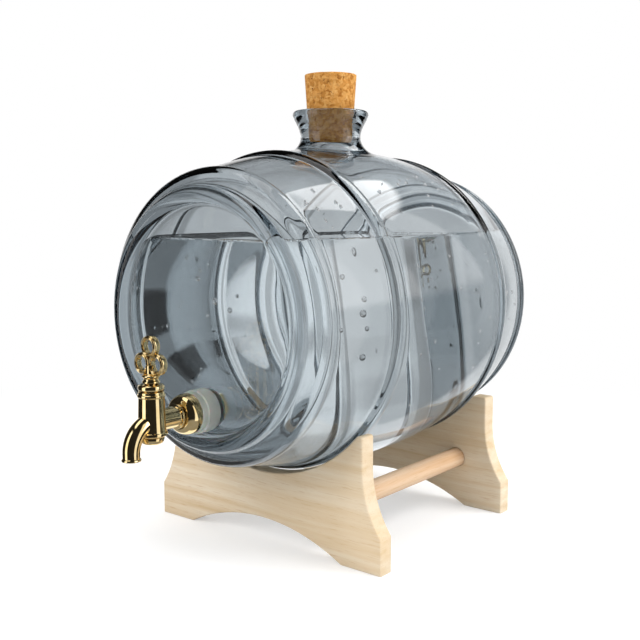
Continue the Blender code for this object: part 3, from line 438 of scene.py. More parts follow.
def shaped(base, joined=(), cut=()):
    """The mesh of one bmesh with others joined to it and cut from it."""
    stand_ins = []
    for shape in (base, *joined, *cut):
        bmesh.ops.recalc_face_normals(shape, faces=shape.faces)
        mesh = bpy.data.meshes.new("form")
        shape.to_mesh(mesh)
        shape.free()
        stand_ins.append(put("form", mesh))
    for k, other in enumerate(stand_ins[1:]):
        modifier = stand_ins[0].modifiers.new(f"form_{k}", "BOOLEAN")
        modifier.operation = "UNION" if k < len(joined) else "DIFFERENCE"
        modifier.object = other
        modifier.solver = "EXACT"
    depsgraph = bpy.context.evaluated_depsgraph_get()
    result = bmesh.new()
    result.from_mesh(stand_ins[0].evaluated_get(depsgraph).to_mesh())
    for obj in stand_ins:
        mesh = obj.data
        bpy.data.objects.remove(obj)
        bpy.data.meshes.remove(mesh)
    bmesh.ops.remove_doubles(result, verts=result.verts, dist=1e-6)
    bmesh.ops.dissolve_degenerate(result, edges=result.edges, dist=1e-7)
    return result


# The glass


def stave_radius(offset):
    return BELLY_RADIUS - (BELLY_RADIUS - SHOULDER_RADIUS) * (offset / END_HOOP[0]) ** 2


def hooped_radius(offset):
    radius = stave_radius(offset)
    for middle, half_width, rise in (MID_HOOP, END_HOOP):
        reach = (abs(offset) - middle) / half_width
        if abs(reach) < 1:
            radius += rise * math.sqrt(1 - reach * reach)
    return radius


def outside_half():
    """(radius, offset) from the edge of the neck's block to the edge of the head's flat."""
    places = np.arange(BLOCK_HALF, END_HOOP[0] + END_HOOP[1], 0.2 * MM)
    points = [(hooped_radius(p), p) for p in places]
    points += arc(RIM_RADIUS, HALF_LENGTH - RIM_ROUND, RIM_ROUND, 0, 180, 24)
    points += [(RECESS_RADIUS, HEAD_FACE), (HOLE_ROWS[-1], HEAD_FACE)]
    return softened(points, MOULD_SOFTNESS)


def inside_half():
    corner = HEAD_INSIDE - INNER_CORNER
    places = np.arange(BLOCK_HALF, corner, 0.5 * MM)
    points = [(stave_radius(p) - BODY_WALL, p) for p in places]
    points += arc(stave_radius(corner) - BODY_WALL - INNER_CORNER, corner, INNER_CORNER, 0, 90, 12)
    points += [(HOLE_ROWS[-1], HEAD_INSIDE)]
    return softened(points, MOULD_SOFTNESS)


def whole_profile(half, head, wall):
    """All rows of one skin, from the middle of the front head to the middle of the rear head."""
    flat = [(radius, head) for radius in HEAD_ROWS + HOLE_ROWS[:-1]]
    across = np.linspace(-BLOCK_HALF, BLOCK_HALF, 2 * NECK_BLOCK + 1)
    body = [(stave_radius(offset) - wall, offset) for offset in across[1:-1]]
    rear = half + flat[::-1]
    front = [(radius, -offset) for radius, offset in reversed(rear)]
    return front + body + rear, len(front) - 1, len(front) + len(body)


def wall_wave(offset, turn):
    """How much the inside of the wall wanders, as in glass that isn't cut: nothing near the neck."""
    along = max(0.0, (abs(offset) - BLOCK_HALF) / WAVE_START)
    down = max(0.0, 1 - math.sin(turn)) * WAVE_SIDES
    point = Vector((math.cos(turn) * WAVE_CIRCLE, offset / WAVE_LENGTH, math.sin(turn) * WAVE_CIRCLE))
    return WAVE_HEIGHT * noise.noise(point) * min(1.0, along + down)


def skin_point(radius, offset, turn):
    return Vector((radius * math.cos(turn), BARREL_Y + offset, AXIS_HEIGHT + radius * math.sin(turn)))


def skin(shape, profile, top_rows, head_rows, wavy, lap=0.0):
    """One skin of the glass as a grid with two blocks left open, and the loops round them.

    Rows of (0, 0) leave no block open. A lap moves the whole skin outward.
    """
    grid = []
    for k, (radius, offset) in enumerate(profile):
        if radius < 1e-9:
            grid.append([shape.verts.new(skin_point(0, offset, 0))] * (COLUMNS + 1))
            continue
        row = []
        for i in range(COLUMNS):
            in_top = top_rows[0] < k < top_rows[1] and abs(i - TOP_COLUMN) < NECK_BLOCK
            in_hole = head_rows[0] < k < head_rows[1] and abs(i - FOOT_COLUMN) < HOLE_BLOCK
            turn = math.tau * i / COLUMNS
            wave = wall_wave(offset, turn) if wavy and abs(offset) < WAVE_REACH else 0.0
            spot = skin_point(radius + wave + lap, offset, turn)
            row.append(None if in_top or in_hole else shape.verts.new(spot))
        grid.append(row + row[:1])
    for k, (low, high) in enumerate(zip(grid, grid[1:])):
        for i in range(COLUMNS):
            in_top = top_rows[0] <= k < top_rows[1] and -NECK_BLOCK <= i - TOP_COLUMN < NECK_BLOCK
            in_hole = head_rows[0] <= k < head_rows[1] and -HOLE_BLOCK <= i - FOOT_COLUMN < HOLE_BLOCK
            if not (in_top or in_hole):
                shape.faces.new(list(dict.fromkeys((low[i], low[i + 1], high[i + 1], high[i]))))

    def loop(rows, middle, half):
        first, last, left, right = *rows, middle - half, middle + half
        verts = [grid[first][i] for i in range(left, right)]
        verts += [grid[k][right] for k in range(first, last)]
        verts += [grid[last][i] for i in range(right, left, -1)]
        return verts + [grid[k][left] for k in range(last, first, -1)]

    return loop(top_rows, TOP_COLUMN, NECK_BLOCK), loop(head_rows, FOOT_COLUMN, HOLE_BLOCK)


def cork_radius(height):
    return CORK_BOTTOM_RADIUS + (CORK_TOP_RADIUS - CORK_BOTTOM_RADIUS) * (height - CORK_END) / CORK_LENGTH


def neck_section():
    """(radius, height above the axis, share) up the outside of the neck, over the lip and down its bore."""

    def flare(radius, reach, height, rise, turns):
        return [(radius + reach * (1 - math.cos(t)), height + rise * math.sin(t), math.sin(t)) for t in turns]

    turns = np.linspace(math.pi / 2, 0, 15)
    root = flare(WAIST_RADIUS, ROOT_FLARE, WAIST_HEIGHT, BELLY_RADIUS - WAIST_HEIGHT, turns)
    under_lip = LIP_RADIUS - LIP_ROUND / 2
    lip_low = NECK_REACH - LIP_FALL
    points = []
    for t in np.linspace(1, 0, 24):
        radius = under_lip + (WAIST_RADIUS - under_lip) * math.sin(math.pi / 2 * t)
        points.append((radius, lip_low + (WAIST_HEIGHT - lip_low) * t))
    points += arc(LIP_RADIUS - LIP_ROUND, NECK_REACH - LIP_ROUND, LIP_ROUND, -30, 90, 16)
    points.append((cork_radius(NECK_REACH) + SEAT_GAP + BORE_EDGE, NECK_REACH))
    points.append((cork_radius(NECK_REACH - BORE_EDGE) + SEAT_GAP, NECK_REACH - BORE_EDGE))
    seat_low = cork_radius(CORK_END) + SEAT_GAP
    points.append((seat_low, CORK_END))
    upper = [(r, z, 0.0) for r, z in softened(points, NECK_SOFTNESS, turn_degrees=9.0, longest=3 * MM)]
    turns = np.linspace(0, math.pi / 2, 12)[1:]
    lower = flare(seat_low, MOUTH_FLARE, CORK_END, BELLY_RADIUS - BODY_WALL - CORK_END, turns)
    return root, upper[1:], lower


def over_barrel(x, y, wall):
    """Height above the axis of the skin over this place."""
    return math.sqrt((stave_radius(y) - wall) ** 2 - x * x)


def build_glass(finish):
    shape = bmesh.new()
    loops = []
    for half, head, wall, wavy in (
        (outside_half(), HEAD_FACE, 0.0, False),
        (inside_half(), HEAD_INSIDE, BODY_WALL, True),
    ):
        profile, first, last = whole_profile(half, head, wall)
        head_rows = (len(HEAD_ROWS), len(HEAD_ROWS) + len(HOLE_ROWS) - 1)
        loops.append(skin(shape, profile, (first, last), head_rows, wavy))
    (outer_top, outer_hole), (inner_top, inner_hole) = loops

    def ring(radius, height, share, wall):
        verts = []
        for k in range(NECK_SIDES):
            turn = -math.pi / 4 - math.tau * k / NECK_SIDES
            x, y = radius * math.cos(turn), radius * math.sin(turn)
            lift = (over_barrel(x, y, wall) - (BELLY_RADIUS - wall)) * share
            verts.append(shape.verts.new((x, BARREL_Y + y, AXIS_HEIGHT + height + lift)))
        return verts

    def patch(loop, edge, wall):
        before = loop
        for s in range(1, PATCH_STEPS):
            now = []
            for outer, inner in zip(loop, edge):
                place = outer.co.lerp(inner.co, s / PATCH_STEPS)
                height = over_barrel(place.x, place.y - BARREL_Y, wall)
                now.append(shape.verts.new((place.x, place.y, AXIS_HEIGHT + height)))
            bridge(shape, before, now)
            before = now
        bridge(shape, before, edge)

    root, upper, lower = neck_section()
    rings = [ring(*point, 0.0) for point in root + upper] + [ring(*point, BODY_WALL) for point in lower]
    patch(outer_top, rings[0], 0.0)
    bridge(shape, *rings)
    patch(inner_top, rings[-1], BODY_WALL)

    centre = Vector((0, TAP_HEIGHT))
    wide = TAP_HOLE_RADIUS + HOLE_CHAMFER
    hole = [outer_hole]
    for radius, depth in (
        (wide, HEAD_FACE),
        (TAP_HOLE_RADIUS, HEAD_FACE - HOLE_CHAMFER),
        (TAP_HOLE_RADIUS, HEAD_INSIDE + HOLE_CHAMFER),
        (wide, HEAD_INSIDE),
    ):
        outs = [(Vector((v.co.x, v.co.z)) - centre).normalized() * radius for v in outer_hole]
        hole.append([shape.verts.new((out.x, BARREL_Y - depth, TAP_HEIGHT + out.y)) for out in outs])
    bridge(shape, *hole, inner_hole)
    add_piece("smoky_glass_barrel", shape, finish, "barrel", "glass_barrel")


def glass_finish():
    # Pressed soda-lime glass, tinted smoke grey in the melt: thick places turn darker.
    # Fire has polished its skin, which swells very slightly, so straight reflections waver.
    tones = ((0.3, "#f1f3f4"), (0.7, "#f5f7f8"))
    surface = {**CLEAR, "IOR": GLASS_BENDING}
    return clouded("smoky_soda_lime_glass", 22.0, 1.0, surface, tones, (0.05, 0.002), ("#869fad", 52.0))


# The spirit inside


def build_liquid(finish):
    """The liquid laps into the wall and the front head, where light then meets no film of air.

    It stands off the rear head.
    """
    profile, _, _ = whole_profile(inside_half(), HEAD_INSIDE, BODY_WALL)
    on_head = 1e-6
    moved = [(r, y - LIQUID_LAP if abs(abs(y) - HEAD_INSIDE) < on_head else y) for r, y in profile]
    shape = bmesh.new()
    skin(shape, moved, (0, 0), (0, 0), True, LIQUID_LAP)
    everything = shape.verts[:] + shape.edges[:] + shape.faces[:]
    top = (0, 0, LIQUID_LEVEL + LIQUID_CLIMB)
    plane = {"plane_co": top, "plane_no": (0, 0, 1), "dist": 1e-7}
    bmesh.ops.bisect_plane(shape, geom=everything, clear_outer=True, **plane)
    edge = next(e for e in shape.edges if e.is_boundary)
    start = edge.verts[0]
    loop = [start]
    while True:
        nxt = edge.other_vert(loop[-1])
        if nxt is start:
            break
        loop.append(nxt)
        edge = next(e for e in nxt.link_edges if e.is_boundary and e is not edge)
    count = len(loop)
    outer = [v.co.copy() for v in loop]
    centre = sum(outer, Vector()) / count
    inward = []
    for i in range(count):
        run = outer[(i + 1) % count] - outer[i - 1]
        side = Vector((-run.y, run.x, 0)).normalized()
        inward.append(side if side.dot(centre - outer[i]) > 0 else -side)
    before = loop
    for distance in LIQUID_RINGS:
        height = LIQUID_LEVEL + LIQUID_CLIMB * math.exp(-distance / LIQUID_CURVE)
        spots = [place + side * distance * MM for place, side in zip(outer, inward)]
        now = [shape.verts.new((spot.x, spot.y, height)) for spot in spots]
        bridge(shape, before, now)
        before = now
    shape.faces.new(before)
    add_piece("clear_spirit", shape, finish, "barrel")


def liquid_finish():
    # Clear spirit: no colour of its own, so it is seen by its bent light and by the line of its surface
    surface = {**CLEAR, "Base Color": linear("#fcfdfd"), "IOR": SPIRIT_BENDING}
    return clouded("clear_spirit", 35.0, 0.0, surface, relief=(0.02, 0.001))


def clear_finish(name, bend):
    # Air shut in spirit, or spirit in air: only bent light, so the eye sees a bright and a dark crescent
    return clouded(name, 900.0, 0.0, {**CLEAR, "IOR": bend}, relief=(0.1, 0.0004))


# Bubbles, drops and threads, each grown by one node tree


def grown(name, start, tree, values):
    """A plain piece from a node tree run on a starting mesh, with the tree's inputs set by name."""
    carrier = put(name + "_start", start)
    modifier = carrier.modifiers.new("grown", "NODES")
    modifier.node_group = tree
    for item in tree.interface.items_tree:
        if item.in_out == "INPUT" and item.name in values:
            modifier[item.identifier] = values[item.name]
    depsgraph = bpy.context.evaluated_depsgraph_get()
    mesh = bpy.data.meshes.new_from_object(carrier.evaluated_get(depsgraph))
    mesh.name = name
    bpy.data.objects.remove(carrier)
    mesh.materials.clear()
    mesh.materials.append(values["Finish"])
    made = put(name, mesh)
    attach(made, "barrel")
    return made


def new_growth(name, **inputs):
    tree = bpy.data.node_groups.new(name, "GeometryNodeTree")
    tree.interface.new_socket("Geometry", in_out="INPUT", socket_type="NodeSocketGeometry")
    for label, kind in inputs.items():
        tree.interface.new_socket(label, in_out="INPUT", socket_type="NodeSocket" + kind)
    tree.interface.new_socket("Geometry", in_out="OUTPUT", socket_type="NodeSocketGeometry")
    return tree, add(tree, "NodeGroupInput")


def finish_growth(tree, source, given):
    real = add(tree, "GeometryNodeRealizeInstances", {"Geometry": source})
    smooth = add(tree, "GeometryNodeSetShadeSmooth", {"Geometry": real})
    finish = given.outputs["Finish"]
    coated = add(tree, "GeometryNodeSetMaterial", {"Geometry": smooth, "Material": finish})
    add(tree, "NodeGroupOutput", {"Geometry": coated})
    return tree


def bead_growth():
    """A small ball on every point, stretched by its size and stood on the skin it clings to."""
    tree, given = new_growth("beads", Seed="Int", Least="Float", Most="Float", Finish="Material")
    named = [
        add(tree, "GeometryNodeInputNamedAttribute", {"Name": label}, data_type="FLOAT_VECTOR")
        for label in ("out", "size")
    ]
    out, size = (node.outputs["Attribute"] for node in named)
    limits = {2: given.outputs["Least"], 3: given.outputs["Most"], "Seed": given.outputs["Seed"]}
    share = add(tree, "FunctionNodeRandomValue", limits, data_type="FLOAT").outputs[1]
    sized = add(tree, "VectorMath", {0: size, "Scale": share}, operation="SCALE")
    axes = {"Primary Axis": out, "Secondary Axis": (0, 0, -1)}
    stood = add(tree, "FunctionNodeAxesToRotation", axes, primary_axis="Z", secondary_axis="X")
    ball = add(tree, "GeometryNodeMeshUVSphere", {"Segments": 12, "Rings": 8, "Radius": 1.0})
    laid = {"Points": given, "Instance": ball, "Rotation": stood, "Scale": sized}
    return finish_growth(tree, add(tree, "GeometryNodeInstanceOnPoints", laid), given)


def thread_growth():
    """A ridge that winds round a tail, from its foot inward."""
    kinds = {"Turns": "Float", "Radius": "Float", "Reach": "Float", "Place": "Vector", "Finish": "Material"}
    tree, given = new_growth("screw_thread", **kinds)
    turns, radius, reach, place = (given.outputs[label] for label in ("Turns", "Radius", "Reach", "Place"))
    line = {"Start Radius": radius, "End Radius": radius, "Rotations": turns, "Height": reach}
    path = add(tree, "GeometryNodeCurveSpiral", {"Resolution": 48, **line})
    round_bar = {"Resolution": 6, "Radius": THREAD_RIDGE * MM}
    ridge = add(tree, "GeometryNodeCurvePrimitiveCircle", round_bar, mode="RADIUS")
    wound = add(tree, "GeometryNodeCurveToMesh", {"Curve": path, "Profile Curve": ridge, "Fill Caps": True})
    lying = {"Geometry": wound, "Translation": place, "Rotation": (-math.pi / 2, 0, 0)}
    return finish_growth(tree, add(tree, "GeometryNodeTransform", lying), given)


def beads(name, places, growth, finish, seed):
    """Balls at these places, each with the way out of its skin and its half sizes down, across and out."""
    start = bpy.data.meshes.new(name + "_start")
    start.from_pydata([place for place, _, _ in places], [], [])
    for label, column in (("out", 1), ("size", 2)):
        values = start.attributes.new(label, "FLOAT_VECTOR", "POINT").data
        for k, entry in enumerate(places):
            values[k].vector = entry[column]
    grown(name, start, growth, {"Seed": seed, "Least": LEAST_BEAD, "Most": MOST_BEAD, "Finish": finish})


def build_bubbles(air, wet):
    growth = bead_growth()
    places = []
    for x, z, radius in HEAD_BUBBLES:
        r = radius * MM
        depth = HEAD_INSIDE - BUBBLE_GAP - MOST_BEAD * r
        places.append(((x * MM, BARREL_Y - depth, AXIS_HEIGHT + z * MM), (0, -1, 0), (r, r, r)))
    for degrees, offset, radius in WALL_BUBBLES:
        turn, r = math.radians(degrees), radius * MM
        depth = stave_radius(offset * MM) - BODY_WALL - BUBBLE_GAP - MOST_BEAD * r
        out = (math.cos(turn), 0, math.sin(turn))
        places.append((skin_point(depth, offset * MM, turn), out, (r, r, r)))
    beads("air_bubbles", places, growth, air, 3)
    chance = random.Random(11)
    places = []
    for offsets, turns, count in DROP_FIELDS:
        for _ in range(count):
            offset, turn = chance.uniform(*offsets) * MM, math.radians(chance.uniform(*turns))
            across = chance.uniform(0.4, 0.75) * MM
            down = across * chance.uniform(1.0, 2.0)
            point = skin_point(stave_radius(offset) + MOST_BEAD * DROP_THICKNESS, offset, turn)
            off_hoop = abs(abs(offset) - MID_HOOP[0]) > MID_HOOP[1] + down
            if off_hoop and abs(point.x) < BELLY_RADIUS - 2 * DROP_THICKNESS:
                places.append((point, (math.cos(turn), 0, math.sin(turn)), (down, across, DROP_THICKNESS)))
    beads("clinging_drops", places, growth, wet, 5)


def build_thread(finish):
    start = TAIL_END - BARE_TAIL + THREAD_RIDGE
    made = grown("gold_tail_thread", bpy.data.meshes.new("tail_start"), thread_growth(), {
        "Turns": 2.3,
        "Radius": (TAIL_RADIUS - THREAD_SINK) * MM,
        "Reach": (BARE_TAIL - 2 * THREAD_RIDGE) * MM,
        "Place": (0, BARREL_Y + start * MM, TAP_HEIGHT),
        "Finish": finish,
    })


# The cork


def build_cork(finish):
    rows, sides = 64, 112
    slope = (CORK_TOP_RADIUS - CORK_BOTTOM_RADIUS) / CORK_LENGTH
    section = [(0, CORK_LENGTH), (CORK_TOP_RADIUS - CORK_EDGE * slope, CORK_LENGTH)]
    for k in range(1, rows):
        section.append((CORK_TOP_RADIUS - slope * CORK_LENGTH * k / rows, CORK_LENGTH * (1 - k / rows)))
    section += [(CORK_BOTTOM_RADIUS, 0), (0, 0)]
    section = rounded(section, CORK_EDGE, closed=False, steps=5)
    section[1:1] = [(radius * MM, CORK_LENGTH) for radius in CORK_RINGS]
    section[-1:-1] = [(radius * MM, 0) for radius in reversed(CORK_RINGS[:-1])]
    low = Vector((0, BARREL_Y, AXIS_HEIGHT + CORK_END))
    shape = turned(section, sides, lambda x, y, z: (x, BARREL_Y + y, AXIS_HEIGHT + CORK_END + z))
    for v in shape.verts:
        out = v.co - low
        side = Vector((out.x, out.y, 0))
        pit = 0.0
        for (close, whole, deep), shift in ((CORK_PORES, Vector()), (CORK_PRICKS, Vector((7, 1, 3)))):
            pit += max(0.0, noise.noise(v.co * close + shift) - whole) * deep
        if out.z > CORK_LENGTH - 1e-6:
            v.co.z -= END_PIT * pit
        elif out.z < 1e-6:
            v.co.z += END_PIT * pit
        elif side.length > 1e-6:
            v.co -= side.normalized() * SIDE_PIT * pit
    add_piece("cork_bung", shape, finish, "stopper", "cork_stopper")


def cork_finish():
    # Agglomerated cork: pressed granules of 1 to 2 mm, each of its own golden brown, dark pores, dead matt
    made, tree, place = new_material("agglomerated_cork")
    wander = add(tree, "TexNoise", {"Vector": place, "Scale": 500.0, "Detail": 3.0}).outputs["Color"]
    shift = add(tree, "VectorMath", {0: wander, 1: (0.003, 0.003, 0.003)}, operation="MULTIPLY")
    moved = add(tree, "VectorMath", {0: place, 1: shift}, operation="ADD")
    grains = add(tree, "TexVoronoi", {"Vector": moved, "Scale": 560.0, "Randomness": 1.0}).outputs["Color"]
    cell = add(tree, "SeparateColor", {"Color": grains})
    cloud = add(tree, "TexNoise", {"Vector": moved, "Scale": 330.0, "Detail": 5.0, "Roughness": 0.65})
    blend = add(tree, "Mix", {"Factor": 0.62, 2: cell, 3: cloud}, data_type="FLOAT")
    browns = ((0.22, "#9d6328"), (0.38, "#b87e3b"), (0.52, "#ca904b"), (0.68, "#d29e5a"), (0.85, "#dcae74"))
    tone = add(tree, "ValToRGB", {"Fac": blend}, stops=browns)
    specks = add(tree, "TexNoise", {"Vector": moved, "Scale": 760.0, "Detail": 4.0, "Roughness": 0.6})
    speck = add(tree, "MapRange", {"Value": specks, "From Min": 0.58, "From Max": 0.68})
    patches = add(tree, "TexNoise", {"Vector": place, "Scale": 190.0, "Detail": 2.0})
    often = add(tree, "MapRange", {"Value": patches, "From Min": 0.38, "From Max": 0.62})
    marks = add(tree, "Math", {0: speck, 1: often}, operation="MULTIPLY")
    specked = add(tree, "Mix", {"Factor": marks, 6: tone, 7: linear("#6b3d18")}, data_type="RGBA").outputs[2]
    fine = add(tree, "TexNoise", {"Vector": place, "Scale": 1600.0, "Detail": 3.0})
    height = add(tree, "Math", {0: marks, 1: -1.2, 2: fine}, operation="MULTIPLY_ADD")
    bump = add(tree, "Bump", {"Height": height, "Strength": 0.6, "Distance": 0.0004})
    surface = {"Base Color": specked, "Normal": bump, "Roughness": 0.88, "Specular IOR Level": 0.2}
    return close_material(made, surface)


# The cradle


def saddle_section(radius):
    """The +X half of a board's outline, from the middle of the saddle down to the middle of the arch."""
    inside = math.sqrt(radius**2 - (AXIS_HEIGHT - HORN_TOP) ** 2)
    bed = arc(0, AXIS_HEIGHT, radius, 270, 270 + math.degrees(math.asin(inside / radius)), 48)
    waist = HORN_TOP - WAIST_BELOW_HORN
    drop = waist - FOOT_HEIGHT
    sweep_radius = (drop**2 + FOOT_FLARE**2) / (2 * FOOT_FLARE)
    sweep = math.degrees(math.asin(drop / sweep_radius))
    side = arc(HORN_HALF_WIDTH + sweep_radius, waist, sweep_radius, 180, 180 + sweep, 20)
    arch_radius = (ARCH_HALF_WIDTH**2 + ARCH_RISE**2) / (2 * ARCH_RISE)
    arch_half = math.degrees(math.asin(ARCH_HALF_WIDTH / arch_radius))
    arch = arc(0, ARCH_RISE - arch_radius, arch_radius, 90 - arch_half, 90, 24)
    horn = [bed[-2], bed[-1], (HORN_HALF_WIDTH, HORN_TOP), side[0]]
    horn = rounded(horn, HORN_ROUND, closed=False, steps=6)
    return bed[:-2] + horn + side[1:] + [(FOOT_HALF_WIDTH, 0)] + arch


def at_dowel(side):
    """Places a body turned about the line of the dowel on this side."""
    return lambda x, z, distance: (side * DOWEL_SPREAD + x, distance, DOWEL_HEIGHT + z)


def build_board(end, face, radius, finish):
    half = saddle_section(radius)
    outline = half + [(-x, z) for x, z in reversed(half[1:-1])]
    shape = bmesh.new()
    front = shape.faces.new([shape.verts.new((x, BARREL_Y + face, z)) for x, z in outline])
    drawn = bmesh.ops.extrude_face_region(shape, geom=[front])["geom"]
    back = [v for v in drawn if isinstance(v, bmesh.types.BMVert)]
    bmesh.ops.translate(shape, verts=back, vec=(0, BOARD_THICKNESS, 0))
    bmesh.ops.recalc_face_normals(shape, faces=shape.faces)
    rims = [e for e in shape.edges if len(e.link_faces) == 2 and any(len(f.verts) > 4 for f in e.link_faces)]
    edge = {"offset": BOARD_EDGE, "segments": 3, "profile": 0.5, "affect": "EDGES", "clamp_overlap": True}
    bmesh.ops.bevel(shape, geom=rims, **edge)
    start = BARREL_Y + DOWEL_START
    socket = tube(0, DOWEL_RADIUS + SEAT_GAP, start, start + DOWEL_LENGTH + 2 * SEAT_GAP)
    shape = shaped(shape, cut=[turned(socket, 48, at_dowel(side)) for side in (-1, 1)])
    add_piece("beech_" + end, shape, finish, "cradle", end + "_cradle_board", 40)


def build_dowel(name, side, finish):
    start = BARREL_Y + DOWEL_START + SEAT_GAP
    rows = 30
    section = [(DOWEL_RADIUS, start + DOWEL_LENGTH * k / rows) for k in range(rows + 1)]
    section = rounded([(0, start), *section, (0, start + DOWEL_LENGTH)], DOWEL_EDGE, closed=False)
    shape = turned(section, 48, at_dowel(side))
    add_piece(name + "_round_bar", shape, finish, "cradle", name + "_dowel")


def beech_finish(name, tones, grain, pores, shift):
    # Planed and sanded wood, unvarnished: close straight grain, short pores along it, silky and nearly matt.
    # Grain and pores say how often each changes along X, Y and Z.
    made, tree, place = new_material(name)
    dark = tones[0][1]
    bent = add(tree, "TexNoise", {"Vector": place, "Scale": 9.0, "Detail": 1.0}).outputs["Color"]
    bow = add(tree, "VectorMath", {0: bent, 1: (0.0, 0.004, 0.006)}, operation="MULTIPLY")
    bowed = add(tree, "VectorMath", {0: place, 1: bow}, operation="ADD")
    grain_place = add(tree, "Mapping", {"Vector": bowed, "Scale": grain, "Location": (shift, 0.3 * shift, 0)})
    bands = add(tree, "TexNoise", {"Vector": grain_place, "Scale": 1.0, "Detail": 6.0, "Roughness": 0.6})
    tone = add(tree, "ValToRGB", {"Fac": bands}, stops=tones)
    pore_place = add(tree, "Mapping", {"Vector": bowed, "Scale": pores})
    fibre = add(tree, "TexNoise", {"Vector": pore_place, "Scale": 1.0, "Detail": 3.0, "Roughness": 0.6})
    fleck = add(tree, "MapRange", {"Value": fibre, "From Min": 0.56, "From Max": 0.74, "To Max": 0.5})
    toned = add(tree, "Mix", {"Factor": fleck, 6: tone, 7: linear("#b98f5f")}, data_type="RGBA").outputs[2]
    clouds = add(tree, "TexNoise", {"Vector": place, "Scale": 14.0, "Detail": 2.0})
    warm = add(tree, "MapRange", {"Value": clouds, "From Min": 0.42, "From Max": 0.72, "To Max": 0.4})
    warmed = add(tree, "Mix", {"Factor": warm, 6: toned, 7: linear(dark)}, data_type="RGBA").outputs[2]
    bump = add(tree, "Bump", {"Height": fibre, "Strength": 0.25, "Distance": 0.0002})
    rough = add(tree, "MapRange", {"Value": bands, "To Min": 0.5, "To Max": 0.68})
    surface = {"Base Color": warmed, "Normal": bump, "Roughness": rough, "Specular IOR Level": 0.35}
    return close_material(made, surface)


# The tap, all in millimetres


def up_tap(x, y, z):
    """A place counted from the valve's inlet."""
    return (x * MM, VALVE_Y + y * MM, TAP_HEIGHT + z * MM)


def along_tail(x, z, distance):
    """A place about the tail's line, its distance counted from the barrel's middle."""
    return (x * MM, BARREL_Y + distance * MM, TAP_HEIGHT + z * MM)


def spout_path(root_radius, radius, steps):
    """(centre y, centre z, direction, radius) down the spout's quarter bend."""
    stations = [(-PORT_RADIUS, 0.0, 0.0, root_radius)]
    for i in range(steps + 1):
        turn = math.pi / 2 * i / steps
        width = root_radius + (radius - root_radius) * i / steps
        stations.append((-SPOUT_BEND * math.sin(turn), SPOUT_BEND * (math.cos(turn) - 1), turn, width))
    return stations


def swept(stations, sides):
    """A round body drawn through the stations of a path."""
    shape = bmesh.new()
    rings = []
    for y, z, turn, radius in stations:
        ring = []
        for i in range(sides):
            angle = math.tau * i / sides
            across, out = radius * math.cos(angle), radius * math.sin(angle)
            ring.append(shape.verts.new(up_tap(across, y - out * math.sin(turn), z + out * math.cos(turn))))
        rings.append(ring)
    bridge(shape, *rings)
    shape.faces.new(rings[0])
    shape.faces.new(rings[-1])
    return shape


def build_tap_body(finish):
    section = [(0, VALVE_TOP), (6.3, VALVE_TOP), (6.3, 13.9), (6.75, 13.6), (6.75, 12.6), (6.3, 12.2)]
    section += [(6.85, -4.5), (7.5, -4.9), (7.5, -6.3), (6.3, VALVE_FOOT), (0, VALVE_FOOT)]
    body = turned(rounded(section, 0.35, closed=False, steps=3), TAP_SIDES, up_tap)
    front, back = COLLAR_FRONT, COLLAR_FRONT + 1.8
    tail = tube(0, TAIL_RADIUS, VALVE_OFFSET, TAIL_END)
    collar = [(TAIL_RADIUS, front), (COLLAR_RADIUS, front + 0.2), (COLLAR_RADIUS, back), (TAIL_RADIUS, back)]
    tail[2:2] = collar
    tail = turned(rounded(tail, 0.3, closed=False, steps=3), TAP_SIDES, along_tail)
    lip = -SPOUT_BEND - SPOUT_DROP
    stations = spout_path(SPOUT_ROOT_RADIUS, SPOUT_RADIUS, 28)
    for height, swell in SPOUT_LIP:
        stations.append((-SPOUT_BEND, lip + height, math.pi / 2, SPOUT_RADIUS + swell))
    spout = swept(stations, TAP_SIDES)
    high, low = VALVE_TOP + CUT, VALVE_FOOT - CUT
    chamber = [(0, high), (4.7, high), (4.7, 11.9), (2.9, 11.9), (2.9, 10.3), (4.6, 10.3), (4.6, low)]
    chamber = turned([*chamber, (0, low)], 48, up_tap)
    inlet = turned(tube(0, BORE_RADIUS, VALVE_OFFSET, TAIL_END + CUT), 32, along_tail)
    stations = spout_path(BORE_RADIUS, BORE_RADIUS, 20)
    outlet = swept([*stations, (-SPOUT_BEND, lip - CUT, math.pi / 2, BORE_RADIUS)], 32)
    shape = shaped(body, joined=(tail, spout), cut=(chamber, inlet, outlet))
    add_piece("gold_tap_body", shape, finish, "barrel", "tap_body", GOLD_EDGE)


def hexagon_nut(hole, start, end):
    """A nut with both its faces chamfered round."""
    shape = bmesh.new()
    corner = NUT_HALF_WIDTH / math.cos(math.pi / 6)
    ends = []
    for y in (start, end):
        corners = arc(0, 0, corner, 0, 300, 5)
        ends.append([shape.verts.new(along_tail(x, z, y)) for x, z in corners])
    bridge(shape, *ends)
    cuts = []
    for ring, y, out in zip(ends, (start, end), (-1, 1)):
        shape.faces.new(ring)
        high, fall = y + 2 * out, y - 1.15 * out
        chamfer = [(7.6, high), (7.6, y), (9.6, fall), (12, fall), (12, high)]
        cuts.append(turned(chamfer, TAP_SIDES, along_tail, True))
    cuts.append(turned(tube(0, hole, start - CUT, end + CUT), 48, along_tail))
    return shaped(shape, cut=cuts)


